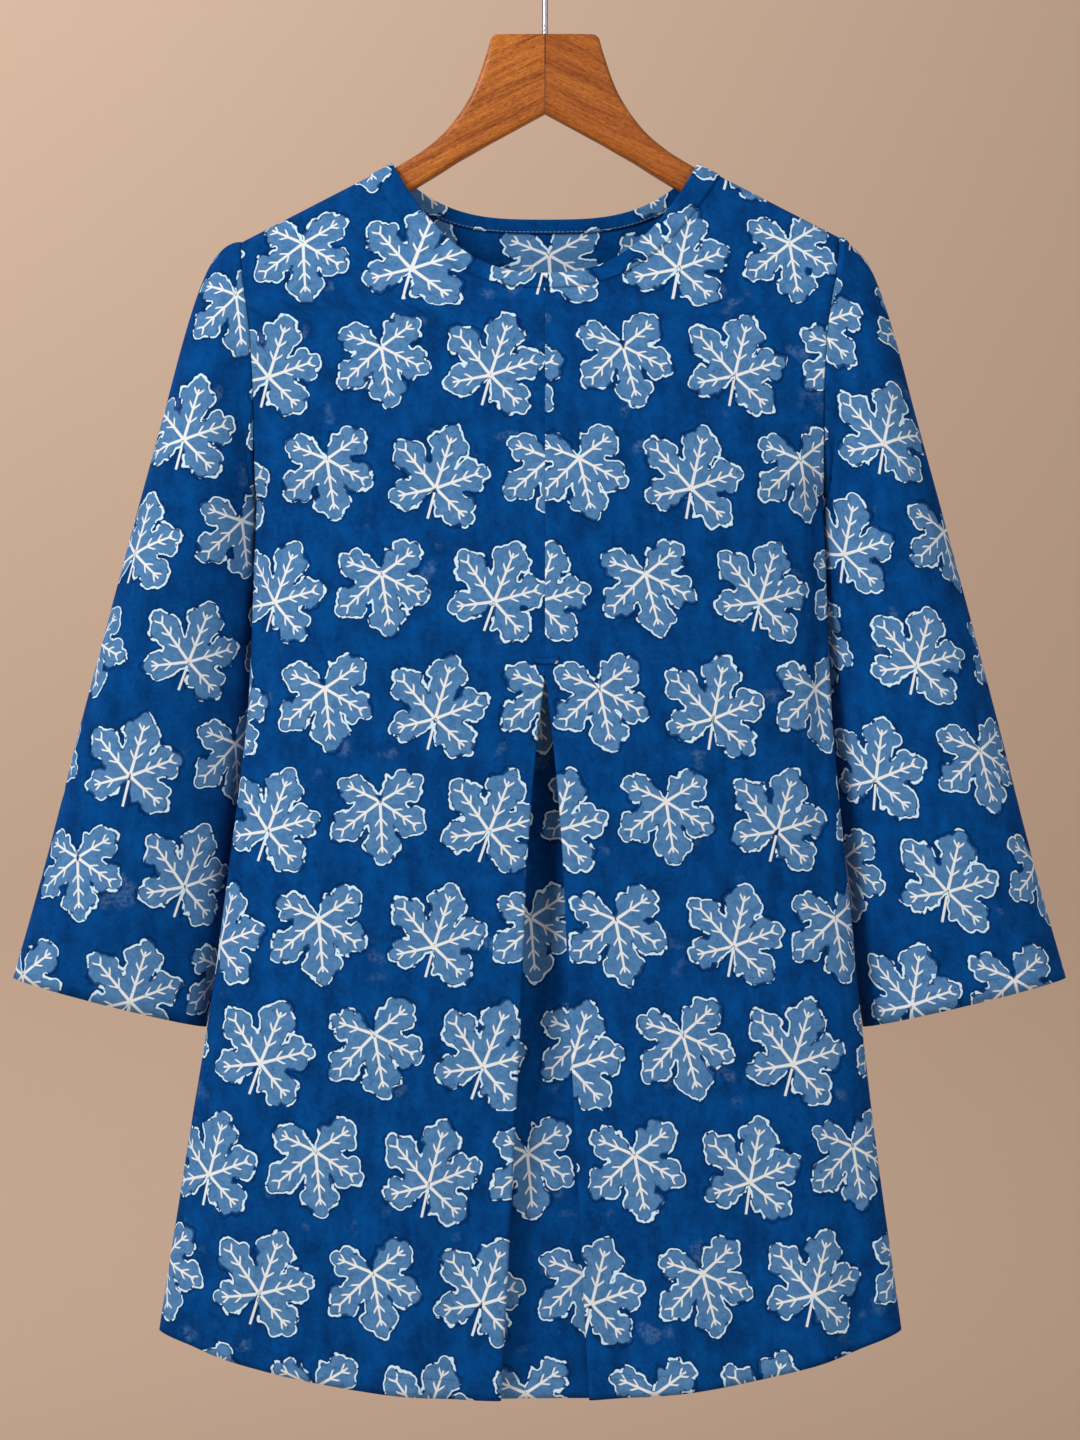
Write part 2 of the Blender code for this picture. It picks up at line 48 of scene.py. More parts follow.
# Shader maths: a wrapped socket, so that maths on values reads as plain expressions
class Wire:
    def __init__(self, tree, socket):
        self.tree = tree
        self.socket = socket

    # any node: its type, its settings, then the values or links of its sockets
    def node(self, kind, settings, sockets, output=0):
        made = self.tree.nodes.new(kind)
        for name, value in settings.items():
            setattr(made, name, value)
        for name, value in sockets.items():
            if isinstance(value, Wire):
                self.tree.links.new(value.socket, made.inputs[name])
            else:
                made.inputs[name].default_value = value
        return Wire(self.tree, made.outputs[output])

    def math(self, operation, *others, clamped=False):
        settings = {"operation": operation, "use_clamp": clamped}
        return self.node("ShaderNodeMath", settings, dict(enumerate((self, *others))))

    def vector(self, operation, other, output=0):
        return self.node("ShaderNodeVectorMath", {"operation": operation}, {0: self, 1: other}, output)

    def __add__(self, other):
        return self.math("ADD", other)

    def __radd__(self, other):
        return self.math("ADD", other)

    def __sub__(self, other):
        return self.math("SUBTRACT", other)

    def __rsub__(self, other):
        return self.node("ShaderNodeMath", {"operation": "SUBTRACT"}, {0: other, 1: self})

    def __mul__(self, other):
        return self.math("MULTIPLY", other)

    def __rmul__(self, other):
        return self.math("MULTIPLY", other)

    def __truediv__(self, other):
        return self.math("DIVIDE", other)

    def __abs__(self):
        return self.math("ABSOLUTE")

    def most(self, other):
        return self.math("MAXIMUM", other)

    def over(self, edge, blur):  # 0 below the edge, 1 above it
        return ((self - edge) / blur + 0.5).math("ADD", 0.0, clamped=True)

    def under(self, edge, blur):
        return 1 - self.over(edge, blur)

    def within(self, low, high, blur):
        return self.over(low, blur) * self.under(high, blur)

    def parts(self):
        split = self.node("ShaderNodeSeparateXYZ", {}, {0: self})
        outputs = split.socket.node.outputs
        return [Wire(self.tree, outputs[i]) for i in range(3)]

    def joined(self, y, z=0.0):
        return self.node("ShaderNodeCombineXYZ", {}, {0: self, 1: y, 2: z})

    def noise(self, scale, detail=2.0, roughness=0.5):
        return self.node(
            "ShaderNodeTexNoise", {}, {"Vector": self, "Scale": scale, "Detail": detail, "Roughness": roughness}
        )

    def tint(self, low, high):  # a colour between two, by this value
        return self.node("ShaderNodeMix", {"data_type": "RGBA"}, {0: self, 6: (*low, 1.0), 7: (*high, 1.0)}, 2)

    def paintedOver(self, mask, colour):  # this colour with another laid over it
        top = colour if isinstance(colour, Wire) else (*colour, 1.0)
        return self.node("ShaderNodeMix", {"data_type": "RGBA"}, {0: mask, 6: self, 7: top}, 2)


# A material's tree, its shader and a first wrapped socket to start expressions from
def newMaterial(name, source, reads, constants):
    made = bpy.data.materials.new(name)
    made.use_nodes = True
    tree = made.node_tree
    shader = tree.nodes["Principled BSDF"]
    for socket, value in constants.items():
        shader.inputs[socket].default_value = value
    start = tree.nodes.new(source)
    if source == "ShaderNodeAttribute":
        start.attribute_name = reads
        return made, shader, Wire(tree, start.outputs["Vector"])
    return made, shader, Wire(tree, start.outputs[reads])


def feed(shader, socket, wire):
    wire.tree.links.new(wire.socket, shader.inputs[socket])


def feedBump(shader, height, depth):
    bump = height.node("ShaderNodeBump", {}, {"Height": height, "Distance": depth, "Strength": 1.0})
    feed(shader, "Normal", bump)


# The print: a five-lobed leaf, every other one turned over, in rows that step by half a repeat
leafPrint = {
    "pitch": 0.075,  # from one leaf to the next in a row
    "rowPitch": 0.0767,
    "firstLeaf": -0.029,
    "firstRow": -0.2917,
    "hub": (-0.0032, -0.0098),  # from the middle of the leaf
    "flippedTurn": -10.0,
    # each lobe's heading from the hub, its reach and the radii of its broad part and its tip, then
    # its two side bumps (how far out, how far aside, radius) and its side veins (first, pitch, number)
    "lobes": [
        (128.0, 44.0, 10.2, 6.0, (30.0, 6.2, 6.2), (12.5, 10.5, 3)),
        (72.0, 46.5, 11.4, 6.4, (32.0, 7.8, 6.4), (12.0, 10.5, 3)),
        (19.0, 39.5, 10.0, 6.0, (27.0, 6.2, 6.2), (11.0, 9.0, 3)),
        (-45.0, 35.0, 11.0, 6.8, (23.5, 5.8, 6.8), (12.5, 10.0, 2)),
        (191.0, 33.5, 9.8, 6.0, (22.0, 5.0, 6.3), (12.0, 9.5, 2)),
    ],
    "lobeRoot": 6.8,
    "tipBeyond": 3.4,
    "blade": 19.5,
    "notch": (247.0, 24.0),  # heading and half angle of the cut beside the stem
    "stem": (254.5, 3.0, 22.0),
    "ground": ((0.0, 0.034, 0.148), (0.0005, 0.071, 0.280)),
    "fill": ((0.050, 0.170, 0.37), (0.110, 0.262, 0.49)),
    "outline": (0.66, 0.87, 1.0),
    "veins": (0.83, 0.85, 0.83),
    "navy": (0.0005, 0.014, 0.062),
    "smudge": (0.13, 0.26, 0.46),
}


def headings(turn):
    angle = math.radians(turn)
    return (math.cos(angle), math.sin(angle), 0.0), (-math.sin(angle), math.cos(angle), 0.0)


def leafCell(place):
    # a point's place on the leaf of the cell that it lies in, in mm from the hub
    p = leafPrint
    x, z, turnedLeaf = place.parts()
    row = ((p["firstRow"] - z) / p["rowPitch"] + 0.5).math("FLOOR")
    odd = row.math("FLOORED_MODULO", 2.0)
    column = ((x - p["firstLeaf"]) / p["pitch"] + odd * 0.5 + 0.5).math("FLOOR")
    turned = turnedLeaf.over(0.00002, 0.000004) * row.under(-0.5, 0.1)
    flipped = (column + turned).math("FLOORED_MODULO", 2.0)
    seed = flipped.joined(row, 3.0)
    luck = seed.node("ShaderNodeTexWhiteNoise", {"noise_dimensions": "3D"}, {"Vector": seed}, 1)
    luckX, luckZ, luckTurn = luck.parts()
    inX = (x - p["firstLeaf"] - (column - odd * 0.5) * p["pitch"]) / mm + (luckX - 0.5) * 4.0
    inZ = (z - p["firstRow"] + row * p["rowPitch"]) / mm + (luckZ - 0.5) * 2.6
    fromHubX = inX - p["hub"][0] / mm
    fromHubZ = inZ * (1 - flipped * 2) - p["hub"][1] / mm
    turn = (luckTurn - 0.5) * 0.16 + flipped * math.radians(p["flippedTurn"])
    cosine = turn.math("COSINE")
    sine = turn.math("SINE")
    grow = 0.96 + (luckX - 0.5) * 0.05 - flipped * 0.03
    onLeafX = (fromHubX * cosine - fromHubZ * sine) / grow
    onLeafZ = (fromHubX * sine + fromHubZ * cosine) / grow
    return onLeafX.joined(onLeafZ), flipped


def leafMasks(place):
    # distance outside the leaf's edge in mm, a mask of its veins, and a mask of its stem
    p = leafPrint
    onLeaf, flipped = leafCell(place)
    fromHub = onLeaf.vector("LENGTH", (0, 0, 0), 1)
    outside = fromHub - p["blade"]
    veins = fromHub.under(2.3, 0.6)
    for turn, length, bulb, tip, (far, aside, bump), (firstFork, forkPitch, forks) in p["lobes"]:
        ahead, across = headings(turn)
        reach = length - p["tipBeyond"] - bulb
        out = onLeaf.vector("DOT_PRODUCT", ahead, 1)
        side = abs(onLeaf.vector("DOT_PRODUCT", across, 1))
        share = (out / reach).math("ADD", 0.0, clamped=True)
        distance = (out - share * reach).joined(side).vector("LENGTH", (0, 0, 0), 1)
        edge = distance - (p["lobeRoot"] + share * (bulb - p["lobeRoot"]))
        outside = outside.math("SMOOTH_MIN", edge, 1.8)
        pointed = (out - (length - tip)).joined(side).vector("LENGTH", (0, 0, 0), 1) - tip
        outside = outside.math("SMOOTH_MIN", pointed, 0.8)
        sideBump = (out - far).joined(side - aside).vector("LENGTH", (0, 0, 0), 1) - bump
        outside = outside.math("SMOOTH_MIN", sideBump, 0.8)
        width = 1.15 - (out / length) * 0.6
        vein = (width - side).over(0.0, 0.35) * out.within(0.0, length * 0.8, 0.5)
        climb = out - side * 1.25 - firstFork
        fork = abs((climb + forkPitch / 2).math("FLOORED_MODULO", forkPitch) - forkPitch / 2) * 0.62
        reachOut = 5.2 - (out / length) * 1.8
        barbs = fork.under(0.62, 0.35) * side.under(reachOut, 0.4)
        barbs = barbs * climb.within(-0.9, forkPitch * (forks - 0.5), 0.3)
        veins = veins.most(vein.most(barbs))
    ahead, across = headings(p["notch"][0])
    half = math.radians(p["notch"][1])
    deep = onLeaf.vector("DOT_PRODUCT", ahead, 1)
    aside = abs(onLeaf.vector("DOT_PRODUCT", across, 1))
    cut = (deep - 2.0) * math.sin(half) - aside * math.cos(half)
    outside = outside.math("SMOOTH_MAX", cut, 2.5)
    turn, start, end = p["stem"]
    ahead, across = headings(turn)
    out = onLeaf.vector("DOT_PRODUCT", ahead, 1)
    side = abs(onLeaf.vector("DOT_PRODUCT", across, 1))
    stem = side.under(0.85, 0.35) * out.within(start, end, 0.5) * (1 - flipped)
    return outside, veins, stem


def printedCotton(name):
    p = leafPrint
    constants = {"Roughness": 0.9, "Specular IOR Level": 0.06}
    made, shader, place = newMaterial(name, "ShaderNodeAttribute", "clothPlace", constants)
    outside, veins, stem = leafMasks(place)
    scallops = place.node(
        "ShaderNodeTexVoronoi", {"feature": "F1"}, {"Vector": place, "Scale": 165.0, "Randomness": 0.8}
    )
    ragged = outside + scallops * 3.4 - 1.1
    runs = place.noise(62.0, 1.0).under(0.575, 0.02)
    dashes = place.noise(230.0, 1.0).under(0.63, 0.03)
    lineWidth = 0.45 + place.noise(95.0, 1.0) * 0.45
    gap = place.noise(48.0, 1.0) * 1.6 - 0.8  # the white lies beside the fill's own edge in places
    outline = abs(ragged - gap.most(0.0) - 0.55).under(lineWidth, 0.35) * runs * dashes
    navyLine = abs(ragged - 1.7).under(0.8, 1.0)
    hairline = abs(ragged + 0.35).under(0.3, 0.3) * place.noise(120.0, 1.0).over(0.47, 0.04)
    inside = ragged.under(0.0, 0.3)
    # dye streaks that follow the cloth's length, and small mottles
    streaks = place.vector("MULTIPLY", (1.0, 0.36, 1.0)).noise(75.0, 4.0, 0.62)
    clouds = place.noise(55.0, 4.0, 0.7)
    mottle = place.noise(420.0, 3.0, 0.6)
    uneven = (streaks * 0.42 + clouds * 0.36 + mottle * 0.22).over(0.5, 0.2)
    grainy = (place.noise(160.0, 3.0, 0.7) * 0.65 + mottle * 0.35).over(0.5, 0.3)
    colour = uneven.tint(*p["ground"])
    smudges = place.noise(24.0, 2.0, 0.7).over(0.66, 0.06) * mottle.over(0.5, 0.3) * 0.4
    colour = colour.paintedOver(smudges, p["smudge"])
    colour = colour.paintedOver(navyLine * 0.65, p["navy"])
    colour = colour.paintedOver(inside, grainy.tint(*p["fill"]))
    specks = place.noise(520.0, 1.0).over(0.7, 0.03) * inside * 0.5
    colour = colour.paintedOver(specks, p["ground"][0])
    colour = colour.paintedOver((veins * inside).most(stem), p["veins"])
    colour = colour.paintedOver(hairline * 0.8, p["navy"])
    colour = colour.paintedOver(outline, p["outline"])
    feed(shader, "Base Color", colour)
    x, z, _ = place.parts()
    warp = (x * (2 * math.pi / 0.00055)).math("SINE")
    weft = (z * (2 * math.pi / 0.00062)).math("SINE")
    weave = warp * weft * 0.5 + mottle * 0.8
    feedBump(shader, weave, 0.00012)
    return made


cotton = printedCotton("printedCotton")
print("printed cotton made")


# Reading smooth curves through short tables
def smoothAlong(at, values, places):
    steps = np.diff(at)
    shape = (-1,) + (1,) * (values.ndim - 1)
    slopes = np.diff(values, axis=0) / steps.reshape(shape)
    before, after = slopes[:-1], slopes[1:]
    same = before * after > 0
    total = np.where(same, before + after, 1.0)
    turns = np.concatenate([slopes[:1], np.where(same, 2 * before * after / total, 0.0), slopes[-1:]])
    places = np.clip(np.asarray(places, float), at[0], at[-1])
    i = np.clip(np.searchsorted(at, places, side="right") - 1, 0, len(steps) - 1)
    s = (places - at[i]) / steps[i]
    step = steps[i]
    if values.ndim > 1:
        s = s.reshape(shape)
        step = step.reshape(shape)
    return (
        values[i] * (1 + 2 * s) * (1 - s) ** 2
        + values[i + 1] * s * s * (3 - 2 * s)
        + turns[i] * step * s * (1 - s) ** 2
        + turns[i + 1] * step * s * s * (s - 1)
    )


def along(rows, column, places):
    ordered = sorted(rows)
    at = np.array([row[0] for row in ordered], float)
    values = np.array([getattr(row, column) for row in ordered], float)
    return smoothAlong(at, values, places)


# The cloth's form, on the same sizes as the part's source
Side = namedtuple("Side", "z halfWidth sideY sway")
Drape = namedtuple("Drape", "drop front back")
Pleat = namedtuple("Pleat", "z halfOpen foldRadius underlay")
Fold = namedtuple("Fold", "topX topZ footX footZ width depth")

body = {
    "wall": 0.9,
    "seamSet": 0.3,
    "neckHalf": 103.4,
    "neckPointZ": -155.1,
    "tipHalf": 202.6,
    "tipZ": -206.1,
    "crownDepth": 10.3,
    "crownHeight": 12.5,
    "crownPower": 2.7,
    "neckDrop": {"front": 76.5, "back": 34.4},
    "neckPower": {"front": 2.5, "back": 3.2},
    "underarmZ": -381.0,
    "armholeDepth": {"front": 26.0, "back": 28.0},
    "sidePower": {"front": 2.6, "back": 2.1},
    "hemZ": -987.0,
    "hemRise": 45.0,
    "hemPower": 2.4,
    "pleatCloth": 112.0,
    "sides": [
        Side(-150.0, 202.6, 0.0, 0.0),
        Side(-165.0, 202.6, 0.0, 0.0),
        Side(-206.1, 202.6, 0.0, -3.2),
        Side(-228.5, 200.9, 0.3, -4.0),
        Side(-250.0, 197.4, 0.6, -4.4),
        Side(-276.0, 194.2, 0.9, -4.5),
        Side(-330.0, 192.2, 1.5, -4.2),
        Side(-381.0, 192.4, 2.0, -3.7),
        Side(-425.0, 193.6, -3.0, -3.4),
        Side(-516.8, 196.9, -9.0, -3.5),
        Side(-584.8, 203.3, -11.0, -4.4),
        Side(-652.8, 211.0, -12.0, -5.3),
        Side(-720.8, 218.8, -12.0, -6.6),
        Side(-829.6, 233.9, -12.0, -9.0),
        Side(-943.0, 250.6, -12.0, -9.9),
        Side(-990.0, 257.0, -12.0, -10.2),
    ],
    "drapes": [
        Drape(0.0, 0.0, 0.0),
        Drape(12.0, 1.2, 1.0),
        Drape(40.0, 7.0, 6.0),
        Drape(100.0, 18.0, 16.0),
        Drape(180.0, 27.0, 26.0),
        Drape(300.0, 33.0, 33.0),
        Drape(500.0, 37.0, 37.0),
        Drape(830.0, 43.5, 42.0),
    ],
    "pleats": [
        Pleat(-150.0, 0.12, 0.7, 2.8),
        Pleat(-497.0, 0.12, 0.7, 2.8),
        Pleat(-515.0, 2.2, 0.9, 8.0),
        Pleat(-543.0, 5.2, 1.1, 19.0),
        Pleat(-585.0, 9.4, 1.2, 26.0),
        Pleat(-633.0, 12.7, 1.35, 28.0),
        Pleat(-721.0, 16.2, 1.6, 24.0),
        Pleat(-789.0, 19.6, 1.8, 20.0),
        Pleat(-857.0, 23.0, 2.0, 17.0),
        Pleat(-960.0, 28.4, 2.3, 14.0),
        Pleat(-990.0, 30.0, 2.4, 13.0),
    ],
    # soft folds, placed from the middle of the cloth: out of the face, or into it where negative
    "folds": {
        "front": [
            Fold(-214.0, -760.0, -232.0, -985.0, 13.0, -7.0),
            Fold(-190.0, -700.0, -205.0, -985.0, 15.0, 3.5),
            Fold(205.0, -700.0, 226.0, -985.0, 14.0, -8.0),
            Fold(178.0, -650.0, 196.0, -985.0, 18.0, 4.5),
            Fold(-30.0, -640.0, -52.0, -985.0, 14.0, -3.6),
            Fold(28.0, -640.0, 62.0, -985.0, 15.0, -4.2),
            Fold(-66.0, -760.0, -88.0, -985.0, 19.0, 2.6),
            Fold(88.0, -720.0, 108.0, -985.0, 21.0, 2.4),
            Fold(-187.0, -240.0, -190.0, -600.0, 6.0, -9.0),
            Fold(188.0, -240.0, 191.0, -680.0, 7.0, -14.0),
            Fold(-120.0, -800.0, -138.0, -985.0, 24.0, -1.8),
            Fold(140.0, -780.0, 152.0, -985.0, 22.0, -2.0),
        ],
        "back": [
            Fold(-60.0, -300.0, -92.0, -985.0, 24.0, 3.2),
            Fold(-8.0, -360.0, -12.0, -985.0, 20.0, -3.0),
            Fold(48.0, -320.0, 78.0, -985.0, 26.0, 3.6),
            Fold(-150.0, -420.0, -176.0, -985.0, 20.0, -4.2),
            Fold(128.0, -480.0, 160.0, -985.0, 19.0, -3.8),
            Fold(-205.0, -640.0, -226.0, -985.0, 14.0, 4.0),
            Fold(200.0, -620.0, 222.0, -985.0, 15.0, 4.0),
            Fold(-178.0, -240.0, -168.0, -430.0, 10.0, -2.6),
            Fold(176.0, -240.0, 168.0, -460.0, 10.0, -3.0),
        ],
    },
}
neckShare = body["neckHalf"] / body["tipHalf"]
shoulderSlope = (body["tipZ"] - body["neckPointZ"]) / (body["tipHalf"] - body["neckHalf"])


def shoulderZ(x):
    half = body["neckHalf"]
    past = np.abs(x) - half
    inner = body["neckPointZ"] + shoulderSlope * half / 2 * ((x / half) ** 2 - 1)
    return np.where(past >= 0, body["neckPointZ"] + shoulderSlope * past, inner)


def crown(drop):
    left = np.clip(1 - drop / body["crownHeight"], 0.0, 1.0)
    return body["crownDepth"] * (1 - left ** body["crownPower"]) ** (1 / body["crownPower"])


def standOff(x, z, face):
    drop = np.maximum(shoulderZ(x) - z, 0.0)
    return body["seamSet"] + crown(drop) + along(body["drapes"], face, drop)


def edgeY(x, z, face):
    top = shoulderZ(x)
    share = np.clip((top - z) / (top - body["underarmZ"]), 0.0, 1.0)
    sine = np.sqrt(np.maximum(1 - (1 - 2 * share) ** 2, 0.0))
    out = body["seamSet"] + body["armholeDepth"][face] * sine
    return along(body["sides"], "sideY", z) + (-out if face == "front" else out)


def sideClosing(z):
    closing = np.clip((body["underarmZ"] + 75.0 - z) / 60.0, 0.0, 1.0)
    return closing * closing * (3 - 2 * closing)


def foldRelief(x, z, face):
    # how far the soft folds stand out of the face, or sink into it
    relief = np.zeros_like(z)
    for fold in body["folds"][face]:
        down = np.clip((fold.topZ - z) / (fold.topZ - fold.footZ), 0.0, 1.0)
        middle = fold.topX + (fold.footX - fold.topX) * down
        grown = down * down * (3 - 2 * down)
        if fold.footZ > body["hemZ"] + body["hemRise"]:  # a fold that fades out again above the hem
            grown = np.sin(np.pi * down) ** 2
        relief += fold.depth * grown * np.exp(-(((x - middle) / fold.width) ** 2))
    return relief


def panelPoint(x, z, face, behind=0.0):
    x, z, behind = np.broadcast_arrays(np.asarray(x, float), np.asarray(z, float), behind)
    sway = along(body["sides"], "sway", z)
    share = np.clip(np.abs((x - sway) / along(body["sides"], "halfWidth", z)), 0.0, 1.0)
    power = body["sidePower"][face]
    closing = sideClosing(z)
    weight = (1 - closing) * share**4 + closing * (1 - (1 - share**power) ** (1 / power))
    outward = standOff(x, z, face) + foldRelief(x - sway, z, face)
    sign = -1.0 if face == "front" else 1.0
    y = sign * outward * (1 - weight) + edgeY(x, z, face) * weight - sign * behind
    return np.stack([x, y, z], axis=-1)


def panelNormal(x, z, face):
    step = 0.4
    inward = -np.copysign(step, x)
    centre = panelPoint(x, z, face)
    across = centre - panelPoint(x + inward, z, face)
    down = panelPoint(x, z - step, face) - centre
    normal = np.cross(down, across)
    normal /= np.linalg.norm(normal, axis=-1, keepdims=True)
    sign = -1.0 if face == "front" else 1.0
    return np.where(normal[..., 1:2] * sign > 0, normal, -normal)


def topZ(x, face):
    share = np.clip(np.abs(x) / body["neckHalf"], 0.0, 1.0)
    neck = body["neckPointZ"] - body["neckDrop"][face] * (1 - share ** body["neckPower"][face])
    return np.where(np.abs(x) >= body["neckHalf"], shoulderZ(x), neck)


def hemZ(x):
    half = along(body["sides"], "halfWidth", body["hemZ"])
    share = np.clip(np.abs(x - along(body["sides"], "sway", body["hemZ"])) / half, 0.0, 1.0)
    return body["hemZ"] + body["hemRise"] * share ** body["hemPower"]


def edgeX(z, side):
    return along(body["sides"], "halfWidth", z) + side * along(body["sides"], "sway", z)


# Rows down a panel, close together over the shoulder's round
rows = {"armhole": 52, "skirt": 124}
armholeShares = np.linspace(0, 1, rows["armhole"])
armholeShares = 0.14 * armholeShares + 0.86 * armholeShares**2
skirtShares = np.linspace(0, 1, rows["skirt"])[1:]


def columnHeights(place, face):
    top = np.array([body["tipZ"]])
    foot = np.array([body["hemZ"]])
    for _ in range(6):
        top = topZ(place(top)[0], face)
        foot = hemZ(place(foot)[0])
    upper = top + (body["underarmZ"] - top) * armholeShares
    lower = body["underarmZ"] + (foot - body["underarmZ"]) * skirtShares
    return np.concatenate([upper, lower])


# Columns across a panel: shares of the half width at the shoulder line and below the underarm
def sideColumns():
    neck = np.linspace(0, 1, 26)[1:]
    tops = neckShare * (1 - (1 - neck) ** 1.6)
    belows = 0.62 * neck
    shoulder = np.linspace(0, 1, 30)[1:]
    tops = np.concatenate([tops, neckShare + (1 - neckShare) * shoulder])
    belows = np.concatenate([belows, 0.62 + 0.38 * (1 - (1 - shoulder) ** 1.7)])
    return list(zip(tops, belows))


def columnShare(column, z):
    down = np.clip((body["tipZ"] - z) / (body["tipZ"] - body["underarmZ"]), 0.0, 1.0)
    return column[0] + (column[1] - column[0]) * down * down * (3 - 2 * down)


def pleatProfile(z):
    # (x, behind) from the left fold to the underlay's middle, which hangs well behind the folds
    half = along(body["pleats"], "halfOpen", z)
    radius = along(body["pleats"], "foldRadius", z)
    deepest = along(body["pleats"], "underlay", z)
    depth = (body["pleatCloth"] - 2 * half) / 4
    inner = half + depth
    points = []
    for turn in np.linspace(0, math.pi, 9):  # round the outer fold
        points.append((-half - radius + radius * math.sin(turn), radius - radius * math.cos(turn)))
    for share in np.linspace(0, 1, 6)[1:-1]:
        start = -half - radius
        points.append((start + share * (-inner + radius - start), 2 * radius))
    for turn in np.linspace(0, math.pi, 9):  # round the inner fold
        points.append((-inner + radius - radius * math.sin(turn), 3 * radius - radius * math.cos(turn)))
    for share in np.linspace(0, 1, 14)[1:]:
        swing = 0.5 - 0.5 * math.cos(math.pi * min(share / 0.8, 1.0))
        points.append(((-inner + radius) * (1 - share), 4 * radius + (deepest - 4 * radius) * swing))
    return points


# Where a point of the shaped cloth lies on the flat cloth
flatCloth = {
    "topRow": {"from": -262.0, "to": -249.0, "drop": 3.4, "middleDrop": -2.8},
    # how far the top row moves sideways, at these distances from the middle
    "topShift": {
        -1: ((0.0, 40.0, 89.0, 165.0), (-0.4, 5.4, 15.5, 17.0)),
        1: ((0.0, 47.0, 95.0, 170.0), (5.8, -1.0, -7.7, -7.0)),
    },
    "turnedLeaf": {-1: (-29.0, 1.0), 1: (196.0, -1.0)},  # the print's edge of its middle leaf, on each half
    "rightShift": 136.5, "rightSlant": 0.095,
    "slantFrom": -291.5,
    "underlayShift": 8.0,
    "backShift": (1.0, 8.0),
}
dropSteps = np.arange(0.0, 900.0, 0.25)


def extraLength(face):
    depth = crown(dropSteps) + along(body["drapes"], face, dropSteps)
    lengths = np.hypot(np.diff(dropSteps), np.diff(depth))
    return np.concatenate([[0.0], np.cumsum(lengths)]) - dropSteps


extra = {face: extraLength(face) for face in ("front", "back")}


def clothAcross(x, z, face):
    # distance along the cloth from the garment's middle, level round the body
    sway = along(body["sides"], "sway", z)
    steps = 28
    total = np.zeros_like(x)
    last = panelPoint(sway, z, face)
    for step in range(1, steps + 1):
        share = 1 - (1 - step / steps) ** 2
        point = panelPoint(sway + (x - sway) * share, z, face)
        total += np.linalg.norm(point - last, axis=-1)
        last = point
    return np.copysign(total, x - sway)


def clothDown(x, z, face):
    drop = np.clip(shoulderZ(x) - z, 0.0, dropSteps[-1])
    settled = np.interp(100.0, dropSteps, extra[face])
    sag = 12.0 * np.clip((-700.0 - z) / 280.0, 0.0, 1.0) * (1 - np.clip(np.abs(x) / 240.0, 0.0, 1.0) ** 2)
    return z + settled - np.interp(drop, dropSteps, extra[face]) + sag


def frontPrint(x, z, side):
    # the left half and the right half are cut apart in the print, at the pleat
    across = clothAcross(x, z, "front")
    row = flatCloth["topRow"]
    share = np.clip((z - row["from"]) / (row["to"] - row["from"]), 0.0, 1.0)
    top = share * share * (3 - 2 * share)
    middle = np.clip((56.0 - np.abs(across)) / 13.0, 0.0, 1.0)
    drop = row["drop"] + row["middleDrop"] * middle * middle * (3 - 2 * middle)
    across = across + top * np.interp(np.abs(across), *flatCloth["topShift"][side])
    if side > 0:
        across = across + flatCloth["rightShift"] - flatCloth["rightSlant"] * (flatCloth["slantFrom"] - z)
    edge, sign = flatCloth["turnedLeaf"][side]
    turned = np.clip((across - edge) * sign / 10.0, -1.0, 1.0)
    return np.stack([across, clothDown(x, z, "front") + top * drop, turned], axis=-1)


def addCloth(name, points, place, closed, thickness, look, node):
    # points: rows x columns x 3 in mm; place: the same grid on the flat cloth, in mm
    height, width = points.shape[:2]
    index = np.arange(height * width).reshape(height, width)
    if closed:
        index = np.concatenate([index, index[:, :1]], axis=1)
    faces = np.stack([index[:-1, :-1], index[:-1, 1:], index[1:, 1:], index[1:, :-1]], axis=-1)
    mesh = bpy.data.meshes.new(name)
    mesh.from_pydata((points.reshape(-1, 3) * mm).tolist(), [], faces.reshape(-1, 4).tolist())
    mesh.shade_smooth()
    flat = np.zeros((height * width, 3))
    flat[:, : place.shape[-1]] = place.reshape(-1, place.shape[-1]) * mm
    spot = mesh.attributes.new("clothPlace", "FLOAT_VECTOR", "POINT")
    spot.data.foreach_set("vector", flat.ravel())
    mesh.materials.append(look)
    piece = bpy.data.objects.new(name, mesh)
    bpy.context.scene.collection.objects.link(piece)
    wall = piece.modifiers.new("wall", "SOLIDIFY")
    wall.thickness = thickness * mm
    wall.offset = 0.0
    wall.use_even_offset = True
    wall.use_quality_normals = True
    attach(piece, "root")
    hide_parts(node)
    return piece


